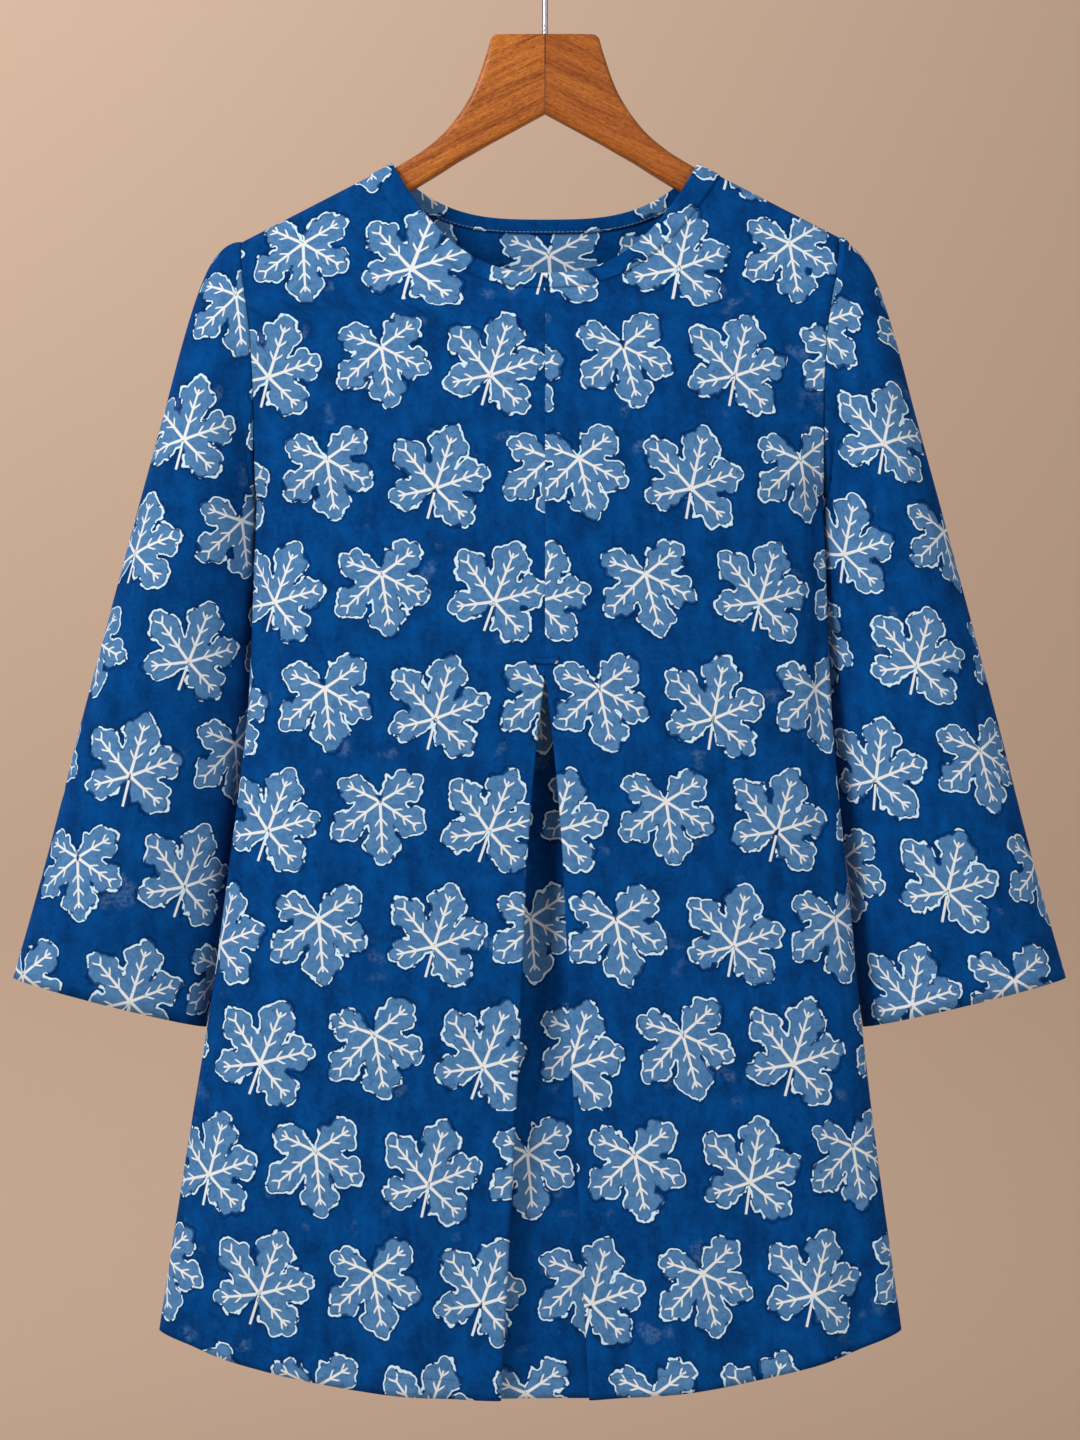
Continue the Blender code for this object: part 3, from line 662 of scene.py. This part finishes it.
def frontGrid():
    columns = sideColumns()
    closedFold = body["pleats"][0].halfOpen + body["pleats"][0].foldRadius
    profile = len(pleatProfile(np.array([0.0])))
    grid, place = [], []

    def sidePlace(column, side):
        def at(z):
            fold = along(body["pleats"], "halfOpen", z) + along(body["pleats"], "foldRadius", z)
            half = body["tipHalf"]
            spread = (columnShare(column, z) * half - closedFold) / (half - closedFold)
            return side * (fold + spread * (edgeX(z, side) - fold)), 0.0

        return at

    def pleatPlace(number, side):
        def at(z):
            x, behind = pleatProfile(z)[number]
            return -side * x, behind

        return at

    def keep(at, side, layer):
        z = columnHeights(at, "front")
        x, behind = at(z)
        points = panelPoint(x, z, "front", behind)
        grid.append(points)
        if layer == "face":
            place.append(frontPrint(x, z, side))
            return
        across = x - along(body["sides"], "sway", z)
        if layer == "underlay":
            across = across + flatCloth["underlayShift"]
        place.append(np.stack([across, clothDown(x, z, "front"), 0 * x], axis=-1))

    # the layers that the folds hide lie between the face and the underlay
    hidden = 9 + 4 + 5
    for column in reversed(columns):
        keep(sidePlace(column, -1), -1, "face")
    for number in range(profile):
        keep(pleatPlace(number, -1), -1, "face" if number < hidden else "underlay")
    for number in reversed(range(profile - 1)):
        keep(pleatPlace(number, 1), 1, "face" if number < hidden else "underlay")
    for column in columns:
        keep(sidePlace(column, 1), 1, "face")
    return np.stack(grid, axis=1), np.stack(place, axis=1)


def backGrid():
    grid, place = [], []
    columns = [(-1, column) for column in reversed(sideColumns())]
    columns += [(1, (0.0, 0.0))] + [(1, column) for column in sideColumns()]
    for side, column in columns:

        def at(z):
            return side * columnShare(column, z) * edgeX(z, side), 0.0

        z = columnHeights(at, "back")
        x = at(z)[0]
        grid.append(panelPoint(x, z, "back"))
        shiftX, shiftZ = flatCloth["backShift"]
        across = clothAcross(x, z, "back")
        across = across - 0.145 * np.clip(across, -43.0, 43.0) * np.clip((z + 262.0) / 13.0, 0.0, 1.0)
        place.append(np.stack([across + shiftX, clothDown(x, z, "back") + shiftZ], axis=-1))
    return np.stack(grid, axis=1), np.stack(place, axis=1)


frontPoints, frontPlace = frontGrid()
front = addCloth("tunicFront", frontPoints, frontPlace, False, body["wall"], cotton, "front_panel")
backPoints, backPlace = backGrid()
back = addCloth("tunicBack", backPoints, backPlace, False, body["wall"], cotton, "back_panel")
print("front and back made")


# Sleeves: rings from the armhole to the cuff
Ring = namedtuple("Ring", "outerX outerZ outerY innerX innerZ innerY front back")
sleeves = {
    "standOut": 2.6,
    "gap": 0.4,
    "closedGap": 0.8,
    "turnSteps": 50,
    "ringSteps": 74,
    "rings": [
        Ring(211.5, -210.0, 0.0, 195.6, -384.5, 7.0, 28.0, 29.0),
        Ring(221.5, -220.0, 0.5, 193.6, -390.5, 13.0, 32.0, 31.0),
        Ring(231.0, -240.0, 1.5, 191.8, -399.0, 18.0, 35.0, 34.0),
        Ring(242.5, -276.0, 3.0, 190.6, -412.0, 21.0, 38.0, 36.0),
        Ring(255.0, -323.0, 4.0, 190.4, -432.0, 22.5, 40.0, 38.0),
        Ring(271.0, -381.0, 5.5, 191.4, -464.0, 23.0, 42.0, 39.0),
        Ring(290.0, -451.0, 7.0, 193.5, -508.0, 22.5, 42.0, 40.0),
        Ring(311.0, -530.0, 8.0, 198.0, -562.0, 21.0, 42.0, 39.0),
        Ring(332.5, -615.0, 8.0, 206.5, -632.0, 18.0, 40.0, 38.0),
        Ring(347.0, -668.0, 8.0, 215.5, -690.0, 14.5, 37.5, 37.0),
        Ring(358.5, -708.0, 8.0, 224.5, -741.5, 11.0, 35.0, 35.0),
    ],
    # where each sleeve's print starts: shift, slant and drop on the flat cloth
    "print": {-1: (64.0, 0.0, 37.0), 1: (-123.0, 0.145, 40.0)},
    "slantFrom": -410.0,
}


def armholeLoop(side, shares):
    top = np.array([body["tipZ"]])
    for _ in range(6):
        top = shoulderZ(edgeX(top, side))
    z = top + (body["underarmZ"] - top) * shares
    x = edgeX(z, side)
    down = np.stack([x, edgeY(x, z, "front"), z], axis=-1)
    up = np.stack([x, edgeY(x, z, "back"), z], axis=-1)
    down[0, 1] = up[0, 1] = 0.0
    down[-1, 1] = up[-1, 1] = along(body["sides"], "sideY", body["underarmZ"])
    return np.concatenate([down, up[-2:0:-1]])


def ringPoints(ring, side, shares):
    outerSway = side * along(body["sides"], "sway", body["underarmZ"])
    innerSway = side * along(body["sides"], "sway", ring.innerZ)
    outer = np.array([ring.outerX + outerSway, ring.outerY, ring.outerZ])
    inner = np.array([ring.innerX + innerSway, ring.innerY, ring.innerZ])
    turns = np.arccos(1 - 2 * shares)
    turns = np.concatenate([turns, 2 * math.pi - turns[-2:0:-1]])
    mix = ((1 + np.cos(turns)) / 2)[:, None]
    points = inner + (outer - inner) * mix
    points[:, 1] -= np.where(turns < math.pi, ring.front, ring.back) * np.sin(turns)
    return points


def sleeveGrid(side):
    turns = np.linspace(0, math.pi, sleeves["turnSteps"])
    shares = (1 - np.cos(turns)) / 2
    loop = armholeLoop(side, shares)
    gaps = sleeves["gap"] + sleeves["closedGap"] * sideClosing(loop[:, 2])
    start = loop + np.stack([gaps, 0 * gaps, 0 * gaps], axis=-1)
    stand = start + np.array([sleeves["standOut"], 0.0, 0.0])
    rings = np.stack([start, stand] + [ringPoints(ring, side, shares) for ring in sleeves["rings"]])
    spans = np.linalg.norm(np.diff(rings, axis=0), axis=-1).mean(axis=1)
    at = np.concatenate([[0.0], np.cumsum(spans)])
    steps = np.linspace(0, 1, sleeves["ringSteps"])
    places = at[-1] * (0.35 * steps + 0.65 * steps**1.6)
    places = np.unique(np.concatenate([places, at[:4]]))
    points = smoothAlong(at, rings, places)
    return points


def sleevePlace(points, side):
    # the front half lies as seen; the back half follows it round the sleeve's outer edge
    count = points.shape[1]
    half = sleeves["turnSteps"] - 1
    span = np.linalg.norm(np.diff(np.concatenate([points, points[:, :1]], axis=1), axis=1), axis=-1)
    around = np.concatenate([np.zeros((len(points), 1)), np.cumsum(span, axis=1)[:, :-1]], axis=1)
    middle = around[:, half] / 2
    heading = (points[:, half] - points[:, 0])[:, [0, 2]]
    heading = heading / np.linalg.norm(heading, axis=1, keepdims=True)
    centre = points[:, half // 2][:, [0, 2]]
    frontSpot = centre[:, None] + heading[:, None] * (around - middle[:, None])[..., None]
    edge = centre - heading * middle[:, None]
    tangent = np.gradient(edge, axis=0)
    tangent /= np.linalg.norm(tangent, axis=1, keepdims=True)
    mirrored = 2 * (heading * tangent).sum(axis=1, keepdims=True) * tangent - heading
    past = (around[:, -1] + span[:, -1])[:, None] - around  # cloth from the outer edge, round the back
    backSpot = edge[:, None] + mirrored[:, None] * past[..., None]
    onFront = (np.arange(count) <= half)[None, :, None]
    spot = np.where(onFront, frontSpot, backSpot)
    shift, slant, drop = sleeves["print"][side]
    across = side * spot[..., 0] + shift - slant * (sleeves["slantFrom"] - spot[..., 1])
    return np.stack([across, spot[..., 1] + drop], axis=-1)


sleevePoints = {}
for side, word in ((1, "Right"), (-1, "Left")):
    points = sleeveGrid(side)
    place = sleevePlace(points, side)
    points[..., 0] *= side
    node = "sleeve_" + word.lower()
    addCloth("sleeve" + word, points, place, True, body["wall"], cotton, node)
    sleevePoints[side] = points
print("sleeves made")


# Neck band outside the front, facing inside the back: strips on the panels' own points, moved out or in
trims = {
    "wall": 0.7,
    "gap": 0.12,
    "band": {"face": "front", "shoulder": 17.0, "centre": 10.0, "reach": 1.0},
    "facing": {"face": "back", "shoulder": 11.0, "centre": 9.5, "reach": 0.95, "print": (22.0, -64.0)},
    "facingLoose": 0.4,
    "across": 7,
    "steps": 128,
    "tack": {"z": -492.0, "width": 18.0, "height": 5.2, "slant": 2.6},
}


def neckStrip(strip, lift):
    face = strip["face"]
    slant = math.atan(shoulderSlope)
    half = body["neckHalf"]
    drop = body["neckDrop"][face]
    power = body["neckPower"][face]
    outerHalf = half + strip["shoulder"] * math.cos(slant)
    outerTop = body["neckPointZ"] + strip["shoulder"] * math.sin(slant)
    outerDrop = outerTop - (body["neckPointZ"] - drop - strip["centre"])
    share = np.linspace(0, 1, trims["across"])[:, None]
    sine = strip["reach"] * np.sin(math.pi / 2 * np.linspace(-1, 1, trims["steps"]))[None, :]
    x = sine * (half + share * (outerHalf - half))
    top = body["neckPointZ"] + share * (outerTop - body["neckPointZ"])
    z = top - (1 - np.abs(sine) ** power) * (drop + share * (outerDrop - drop))
    points = panelPoint(x, z, face) + panelNormal(x, z, face) * lift
    if face == "front":  # its print runs on from the front's
        side = np.where(x > 0, 1, -1)
        right, left = frontPrint(x, z, 1), frontPrint(x, z, -1)
        right[..., 0] -= 2 * leafPrint["pitch"] / mm
        return points, np.where((side > 0)[..., None], right, left)
    shiftX, shiftZ = strip["print"]
    return points, np.stack([clothAcross(x, z, face) + shiftX, clothDown(x, z, face) + shiftZ], axis=-1)


bandLift = body["wall"] / 2 + trims["gap"] + trims["wall"] / 2
bandPoints, bandPlace = neckStrip(trims["band"], bandLift)
band = addCloth("neckBand", bandPoints, bandPlace, False, trims["wall"], cotton, "neck_band_front")
facingPoints, facingPlace = neckStrip(trims["facing"], -bandLift - trims["facingLoose"])
facing = addCloth("neckFacing", facingPoints, facingPlace, False, trims["wall"], cotton, "neck_facing_back")


def tackGrid():
    # a short bar whose left end is cut on a slant and whose middle dips a little
    tack = trims["tack"]
    down = np.linspace(0, 1, 9)[:, None]
    left = -tack["width"] / 2 + tack["slant"] * down
    x = left + (tack["width"] / 2 - left) * np.linspace(0, 1, 25)[None, :]
    z = tack["z"] + (0.5 - down) * tack["height"] - 0.6 * (1 - (2 * x / tack["width"]) ** 2)
    points = panelPoint(x, z, "front")
    points[..., 1] -= bandLift
    return points, np.stack([x, clothDown(x, z, "front")], axis=-1)


tackPoints, tackPlace = tackGrid()
tack = addCloth("pleatTack", tackPoints, tackPlace, False, trims["wall"], cotton, "pleat_tack")
print("trims made")


# Sewing: rows of short stitches that lie on the cloth along a path
def threadMaterial(name, colour):
    constants = {"Roughness": 0.7, "Specular IOR Level": 0.25}
    made, shader, place = newMaterial(name, "ShaderNodeTexCoord", "Object", constants)
    darker = tuple(part * 0.7 for part in colour)
    feed(shader, "Base Color", place.noise(900.0, 2.0).tint(darker, colour))
    x, _, z = place.parts()
    feedBump(shader, ((x + z) * (2 * math.pi / 0.0006)).math("SINE"), 0.00008)
    return made


blueThread = threadMaterial("blueThread", (0.004, 0.075, 0.29))
navyThread = threadMaterial("navyThread", (0.002, 0.014, 0.06))
paleThread = threadMaterial("paleThread", (0.42, 0.52, 0.66))


def gridNormals(points, outward):
    down = np.gradient(points, axis=0)
    across = np.gradient(points, axis=1)
    normals = np.cross(down, across)
    normals /= np.maximum(np.linalg.norm(normals, axis=-1, keepdims=True), 1e-9)
    return normals * outward


def addStitches(name, path, normals, stitch, look):
    # path and normals: points along the seam in mm; each stitch is a thin rounded strand
    length, gap, radius = stitch
    spans = np.linalg.norm(np.diff(path, axis=0), axis=-1)
    at = np.concatenate([[0.0], np.cumsum(spans)])
    count = int((at[-1] - gap) / (length + gap))
    sides = 6
    ends = [(0.0, 0.25, -0.35), (0.12, 0.85, 0.35), (0.5, 1.0, 0.6), (0.88, 0.85, 0.35), (1.0, 0.25, -0.35)]
    points, faces = [], []

    def read(values, place):
        return np.array([np.interp(place, at, values[:, i]) for i in range(3)])

    for number in range(count):
        begin = gap + number * (length + gap)
        base = len(points)
        for share, thick, rise in ends:
            place = begin + share * length
            middle = read(path, place)
            normal = read(normals, place)
            normal /= np.linalg.norm(normal)
            heading = read(path, min(place + 0.3, at[-1])) - read(path, max(place - 0.3, 0.0))
            heading /= np.linalg.norm(heading)
            aside = np.cross(heading, normal)
            for turn in range(sides):
                angle = 2 * math.pi * turn / sides
                out = normal * (math.sin(angle) * thick + rise) + aside * (math.cos(angle) * thick)
                points.append((middle + out * radius) * mm)
        for ring in range(len(ends) - 1):
            for turn in range(sides):
                a = base + ring * sides + turn
                b = base + ring * sides + (turn + 1) % sides
                faces.append((a, b, b + sides, a + sides))
        faces.append(tuple(base + turn for turn in reversed(range(sides))))
        faces.append(tuple(base + (len(ends) - 1) * sides + turn for turn in range(sides)))
    mesh = bpy.data.meshes.new(name)
    mesh.from_pydata([tuple(point) for point in points], [], faces)
    mesh.shade_smooth()
    mesh.materials.append(look)
    piece = bpy.data.objects.new(name, mesh)
    bpy.context.scene.collection.objects.link(piece)
    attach(piece, "root")
    return piece


def aboveEdge(points, rise):
    # reads any values of a cloth grid along the line that lies this far above its last row
    spans = np.linalg.norm(np.diff(points[::-1], axis=0), axis=-1)
    climb = np.concatenate([np.zeros((1, points.shape[1])), np.cumsum(spans, axis=0)])
    number = (climb < rise).sum(axis=0)
    column = np.arange(points.shape[1])
    share = (rise - climb[number - 1, column]) / (climb[number, column] - climb[number - 1, column])
    row = len(points) - 1 - number
    return lambda values: values[row + 1, column] * (1 - share[:, None]) + values[row, column] * share[:, None]


def edgeStitches(name, points, outward, rise, lift, stitch, look, closed=False):
    normals = gridNormals(points, outward)
    level = aboveEdge(points, rise)
    path, out = level(points + normals * lift), level(normals)
    if closed:
        path, out = np.concatenate([path, path[:1]]), np.concatenate([out, out[:1]])
    return addStitches(name, path, out, stitch, look)


sewing = {
    "hemRise": 13.0,
    "facingRise": 1.3,
    "hem": (2.3, 0.7, 0.15),  # a stitch's length, the gap after it and the thread's radius
    "facing": (2.2, 0.8, 0.2),
    "tack": (1.5, 0.25, 0.24),
    "tackInset": 0.55,
}
surface = body["wall"] / 2
trimSurface = trims["wall"] / 2
hemRise = sewing["hemRise"]
hemFront = edgeStitches(
    "hemStitchesFront", frontPoints, 1, hemRise, surface, sewing["hem"], blueThread
)
hemBack = edgeStitches(
    "hemStitchesBack", backPoints, -1, hemRise, surface, sewing["hem"], blueThread
)
for side, word in ((1, "Right"), (-1, "Left")):
    name = "cuffStitches" + word
    points = sleevePoints[side]
    edgeStitches(
        name, points, -side, hemRise, surface, sewing["hem"], blueThread, closed=True
    )
facingRow = edgeStitches(
    "facingStitches", facingPoints, 1, sewing["facingRise"], trimSurface, sewing["facing"], paleThread
)


def tackOutline():
    # round the tack, a little inside its edges
    inset = sewing["tackInset"]
    spans = [tackPoints[0], tackPoints[:, -1], tackPoints[-1, ::-1], tackPoints[::-1, 0]]
    outline = np.concatenate([span[:-1] for span in spans] + [tackPoints[:1, 0]])
    middle = tackPoints.reshape(-1, 3).mean(axis=0)
    inward = np.sign(middle - outline) * inset
    inward[np.abs(middle - outline) < 1.2] = 0.0
    outline = outline + inward
    outline[:, 1] = np.interp(outline[:, 0], tackPoints[4, :, 0], tackPoints[4, :, 1]) - trimSurface
    return outline


outline = tackOutline()
facingOut = np.tile([0.0, -1.0, 0.0], (len(outline), 1))
tackRow = addStitches("tackStitches", outline, facingOut, sewing["tack"], navyThread)
print("sewing made")


# The hanger: two wooden arms glued at the centre, and a wire hook
Arm = namedtuple("Arm", "x top bottom halfThick")
hanger = {
    "joint": 0.05,
    "sections": 90,
    "sectionPoints": 56,
    # how square an arm's section is, where it shows and where the cloth lies on it
    "squareness": {"shown": 4.2, "covered": 2.7, "from": 92.0, "to": 110.0},
    "grainSlope": -26.5,
    "light": (0.61, 0.192, 0.029),
    "dark": (0.235, 0.051, 0.007),
    "arms": [
        Arm(0.05, -66.0, -120.4, 8.0),
        Arm(22.0, -66.0, -132.3, 8.0),
        Arm(33.0, -66.3, -138.3, 8.0),
        Arm(36.4, -68.6, -140.1, 8.0),
        Arm(38.8, -76.2, -141.4, 8.0),
        Arm(41.4, -84.5, -142.9, 8.1),
        Arm(45.0, -95.2, -145.0, 8.2),
        Arm(49.0, -105.0, -147.3, 8.3),
        Arm(54.6, -115.0, -150.4, 8.4),
        Arm(61.0, -124.3, -154.1, 8.5),
        Arm(69.5, -134.2, -159.6, 8.2),
        Arm(84.8, -146.6, -169.0, 7.8),
        Arm(103.4, -157.7, -179.8, 7.8),
        Arm(115.0, -163.7, -185.4, 8.0),
        Arm(124.0, -167.1, -189.4, 8.8),
        Arm(160.0, -185.6, -206.8, 8.6),
        Arm(184.0, -198.2, -217.0, 7.0),
        Arm(192.5, -204.0, -219.4, 5.6),
        Arm(196.5, -210.0, -216.6, 3.0),
    ],
}


def varnishedWood():
    # streaks along each arm, short dark pores, a dark line where the two arms meet, and painted shade that darkens the
    # whole right arm
    constants = {"Specular IOR Level": 0.2, "Coat Roughness": 0.18, "Coat Weight": 0.1}
    made, shader, place = newMaterial("varnishedWood", "ShaderNodeAttribute", "woodPlace", constants)
    ahead, across = headings(hanger["grainSlope"])
    out, depth, height = place.parts()
    seen = out.joined(height)
    sideways = seen.vector("DOT_PRODUCT", across, 1) + place.noise(9.0, 2.0) * 0.006
    forward = seen.vector("DOT_PRODUCT", ahead, 1)
    stretched = (forward * 0.05).joined(sideways, depth * 0.5)
    streaks = stretched.noise(700.0, 4.0, 0.65)
    bands = stretched.noise(120.0, 3.0, 0.55)
    flecks = (forward * 0.3).joined(sideways, depth).noise(900.0, 2.0, 0.6)
    tone = (streaks * 0.42 + bands * 0.33 + flecks * 0.25).over(0.5, 0.21)
    pores = (forward * 0.16).joined(sideways, depth).noise(2300.0, 1.0).over(0.66, 0.05)
    colour = tone.tint(hanger["dark"], hanger["light"])
    colour = colour.paintedOver(pores * 0.6, (0.10, 0.022, 0.005))
    # painted shade: the right arm, on the side away from the light, is laid over with the dark wood tone
    colour = colour.paintedOver(depth.over(0.0, 0.01) * 0.3, hanger["dark"])  # the right arm is darker
    joint = abs(out).under(0.0005, 0.0004) * 0.75
    feed(shader, "Base Color", colour.paintedOver(joint, (0.07, 0.016, 0.006)))
    feed(shader, "Roughness", 0.36 + streaks * 0.16)
    feedBump(shader, streaks * 0.5 - pores * 0.8, 0.00014)
    return made


def hookSteel():
    constants = {"Metallic": 1.0, "Base Color": (0.34, 0.345, 0.36, 1.0)}
    made, shader, place = newMaterial("hookSteel", "ShaderNodeAttribute", "woodPlace", constants)
    scratches = place.vector("MULTIPLY", (1.0, 1.0, 0.08)).noise(4200.0, 3.0, 0.7)
    feed(shader, "Roughness", 0.13 + scratches * 0.16)
    feedBump(shader, scratches, 0.00003)
    return made


def addRings(name, rings, shift, look, node):
    # a solid through closed rings of points in mm, capped at both ends
    count = rings.shape[1]
    faces = [tuple(range(count)), tuple(reversed(range((len(rings) - 1) * count, len(rings) * count)))]
    for ring in range(len(rings) - 1):
        for turn in range(count):
            a = ring * count + turn
            b = ring * count + (turn + 1) % count
            faces.append((a, a + count, b + count, b))
    mesh = bpy.data.meshes.new(name)
    mesh.from_pydata((rings.reshape(-1, 3) * mm).tolist(), [], faces)
    shape = bmesh.new()
    shape.from_mesh(mesh)
    bmesh.ops.recalc_face_normals(shape, faces=shape.faces)
    shape.to_mesh(mesh)
    shape.free()
    mesh.set_sharp_from_angle(angle=math.radians(50.0))
    spots = rings.reshape(-1, 3) * mm
    spots = np.stack([np.abs(spots[:, 0]), spots[:, 1] + shift, spots[:, 2]], axis=-1)
    mesh.attributes.new("woodPlace", "FLOAT_VECTOR", "POINT").data.foreach_set("vector", spots.ravel())
    mesh.materials.append(look)
    piece = bpy.data.objects.new(name, mesh)
    bpy.context.scene.collection.objects.link(piece)
    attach(piece, "root")
    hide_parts(node)
    return piece


def armRings(side):
    arms = hanger["arms"]
    square = hanger["squareness"]
    shares = np.linspace(0, 1, hanger["sections"])
    xs = hanger["joint"] + (arms[-1].x - hanger["joint"]) * shares
    xs = np.unique(np.concatenate([xs, np.linspace(30.0, 50.0, 40), np.linspace(184.0, 196.5, 16)]))
    rings = []
    for x in xs:
        top, bottom, thick = (along(arms, column, x) for column in ("top", "bottom", "halfThick"))
        covered = np.clip((x - square["from"]) / (square["to"] - square["from"]), 0.0, 1.0)
        power = square["shown"] + (square["covered"] - square["shown"]) * covered
        turns = 2 * math.pi * (np.arange(hanger["sectionPoints"]) + 0.5) / hanger["sectionPoints"]
        cosine, sine = np.cos(turns), np.sin(turns)
        y = np.sign(cosine) * np.abs(cosine) ** (2 / power) * thick
        z = (top + bottom) / 2 + np.sign(sine) * np.abs(sine) ** (2 / power) * (top - bottom) / 2
        rings.append(np.stack([np.full_like(y, side * x), y, z], axis=-1))
    return np.stack(rings)


wood = varnishedWood()
arms = {}
for side, word in ((1, "Right"), (-1, "Left")):
    node = "hanger_arm_" + word.lower()
    arms[side] = addRings("hangerArm" + word, armRings(side), 0.05 * side, wood, node)

wire = {
    "radius": 1.9,
    "innerRadius": 17.5,
    "startTurn": -55.0,
    "endTurn": 192.0,
    "stemTop": -44.0,
    "stemBend": 5.0,
    "stemFoot": -86.0,
    "sides": 24,
}


def wirePath():
    # up from the block, out to one side, over the rail and down to the tip
    reach = wire["innerRadius"] + wire["radius"]
    start, end = math.radians(wire["startTurn"]), math.radians(wire["endTurn"])
    joint = np.array([reach * math.cos(start), 0.0, -wire["innerRadius"] + reach * math.sin(start)])
    heading = np.array([-math.sin(start), 0.0, math.cos(start)])
    foot = np.array([0.0, 0.0, wire["stemTop"]])
    bend = [foot, foot + [0.0, 0.0, wire["stemBend"]], joint - heading * wire["stemBend"], joint]
    points = [np.array([0.0, 0.0, wire["stemFoot"]]), foot]
    for s in np.linspace(0, 1, 20)[1:-1]:
        weights = [(1 - s) ** 3, 3 * s * (1 - s) ** 2, 3 * s * s * (1 - s), s**3]
        points.append(sum(point * weight for point, weight in zip(bend, weights)))
    for turn in np.linspace(start, end, 96):
        points.append(np.array([reach * math.cos(turn), 0.0, -wire["innerRadius"] + reach * math.sin(turn)]))
    return np.stack(points)


def wireRings():
    path = wirePath()
    headingsAlong = np.gradient(path, axis=0)
    headingsAlong /= np.linalg.norm(headingsAlong, axis=1, keepdims=True)
    headingsAlong[:2] = [0.0, 0.0, 1.0]
    tipTurns = np.linspace(0, math.pi / 2, 7)[1:-1]  # the tip is rounded off within the wire's own length
    sizes = np.ones(len(path))
    centres = [path]
    ahead = [headingsAlong]
    for turn in tipTurns:
        centres.append(path[-1:] + headingsAlong[-1:] * (math.sin(turn) - 1.0) * wire["radius"] * 0.05)
        ahead.append(headingsAlong[-1:])
        sizes = np.append(sizes, math.cos(turn))
    centres, ahead = np.concatenate(centres), np.concatenate(ahead)
    aside = np.stack([ahead[:, 2], np.zeros(len(ahead)), -ahead[:, 0]], axis=-1)
    turns = 2 * math.pi * np.arange(wire["sides"]) / wire["sides"]
    out = aside[:, None] * np.cos(turns)[None, :, None]
    out = out + np.array([0.0, 1.0, 0.0]) * np.sin(turns)[None, :, None]
    return centres[:, None] + out * sizes[:, None, None] * wire["radius"]


hook = addRings("hangerHook", wireRings(), 0.0, hookSteel(), "hanger_hook")
print("hanger made")


# Each sheet: twice the area of its cloth, summed over its grid's cells; the sum is not kept
def declareSheet(points, closed=False):
    grid = np.concatenate([points, points[:, :1]], axis=1) if closed else points
    across, down = np.diff(grid, axis=1), np.diff(grid, axis=0)
    halves = np.linalg.norm(np.cross(across[:-1], down[:, :-1]), axis=-1).sum()
    halves += np.linalg.norm(np.cross(across[1:], down[:, 1:]), axis=-1).sum()


declareSheet(frontPoints)
declareSheet(backPoints)
for side in (1, -1):
    declareSheet(sleevePoints[side], closed=True)
declareSheet(bandPoints)
declareSheet(facingPoints)

# Floor, light and camera
view = {"eye": (-0.0034, -2.8, -0.5324), "lens": 102.9, "backdropY": 5.6, "bend": 1.0, "halfWidth": 6.0, "floorZ": -1.9}


def plainMaterial(name, colour, roughness):
    constants = {"Base Color": (*colour, 1.0), "Roughness": roughness}
    return newMaterial(name, "ShaderNodeTexCoord", "Object", constants)[0]


def addSweep():
    profile = [(-5.0, 0.0)]
    bend = view["bend"]
    for step in range(13):
        turn = math.pi / 2 * step / 12
        profile.append((view["backdropY"] - bend + bend * math.sin(turn), bend - bend * math.cos(turn)))
    profile.append((view["backdropY"], 5.0))
    wide = view["halfWidth"]
    points = [(x, y, z + view["floorZ"]) for y, z in profile for x in (-wide, wide)]
    faces = [(2 * i, 2 * i + 1, 2 * i + 3, 2 * i + 2) for i in range(len(profile) - 1)]
    mesh = bpy.data.meshes.new("studioSweep")
    mesh.from_pydata(points, [], faces)
    mesh.shade_smooth()
    mesh.materials.append(plainMaterial("palePaper", (0.50, 0.355, 0.258), 0.9))
    sweep = bpy.data.objects.new("studioSweep", mesh)
    bpy.context.scene.collection.objects.link(sweep)


def addLight(name, place, aim, width, height, power, colour):
    lamp = bpy.data.lights.new(name, "AREA")
    lamp.shape = "RECTANGLE"
    lamp.size = width
    lamp.size_y = height
    lamp.energy = power
    lamp.color = colour
    made = bpy.data.objects.new(name, lamp)
    made.location = place
    made.rotation_euler = (Vector(aim) - Vector(place)).to_track_quat("-Z", "Y").to_euler()
    bpy.context.scene.collection.objects.link(made)


addSweep()
addLight("keyLight", (-2.3, -2.35, 1.1), (0.0, 0.0, -0.5), 1.3, 1.3, 103.0, (0.99, 0.99, 1.0))
addLight("fillLight", (1.9, -2.4, -0.1), (0.0, 0.0, -0.5), 2.0, 2.0, 27.0, (0.99, 0.99, 1.0))
addLight("backdropLight", (-2.2, 2.7, 3.3), (-1.2, 5.6, 0.8), 3.4, 1.9, 122.0, (0.95, 0.97, 1.0))
addLight("backdropFill", (-2.2, 1.6, 1.4), (-1.2, 5.6, 0.9), 2.0, 2.0, 74.0, (1.0, 0.98, 0.96))
world = bpy.data.worlds.new("studio")
world.use_nodes = True
world.node_tree.nodes["Background"].inputs["Color"].default_value = (0.95, 0.95, 1.0, 1.0)
world.node_tree.nodes["Background"].inputs["Strength"].default_value = 0.35
scene = bpy.context.scene
scene.world = world
scene.view_settings.view_transform = "Standard"

camera = bpy.data.cameras.new("camera")
camera.lens = view["lens"]
camera.sensor_width = 36.0
camera.clip_end = 50.0
cameraObject = bpy.data.objects.new("camera", camera)
cameraObject.location = view["eye"]
cameraObject.rotation_euler = (math.radians(90), 0.0, 0.0)
scene.collection.objects.link(cameraObject)
scene.camera = cameraObject
print("light and camera set")
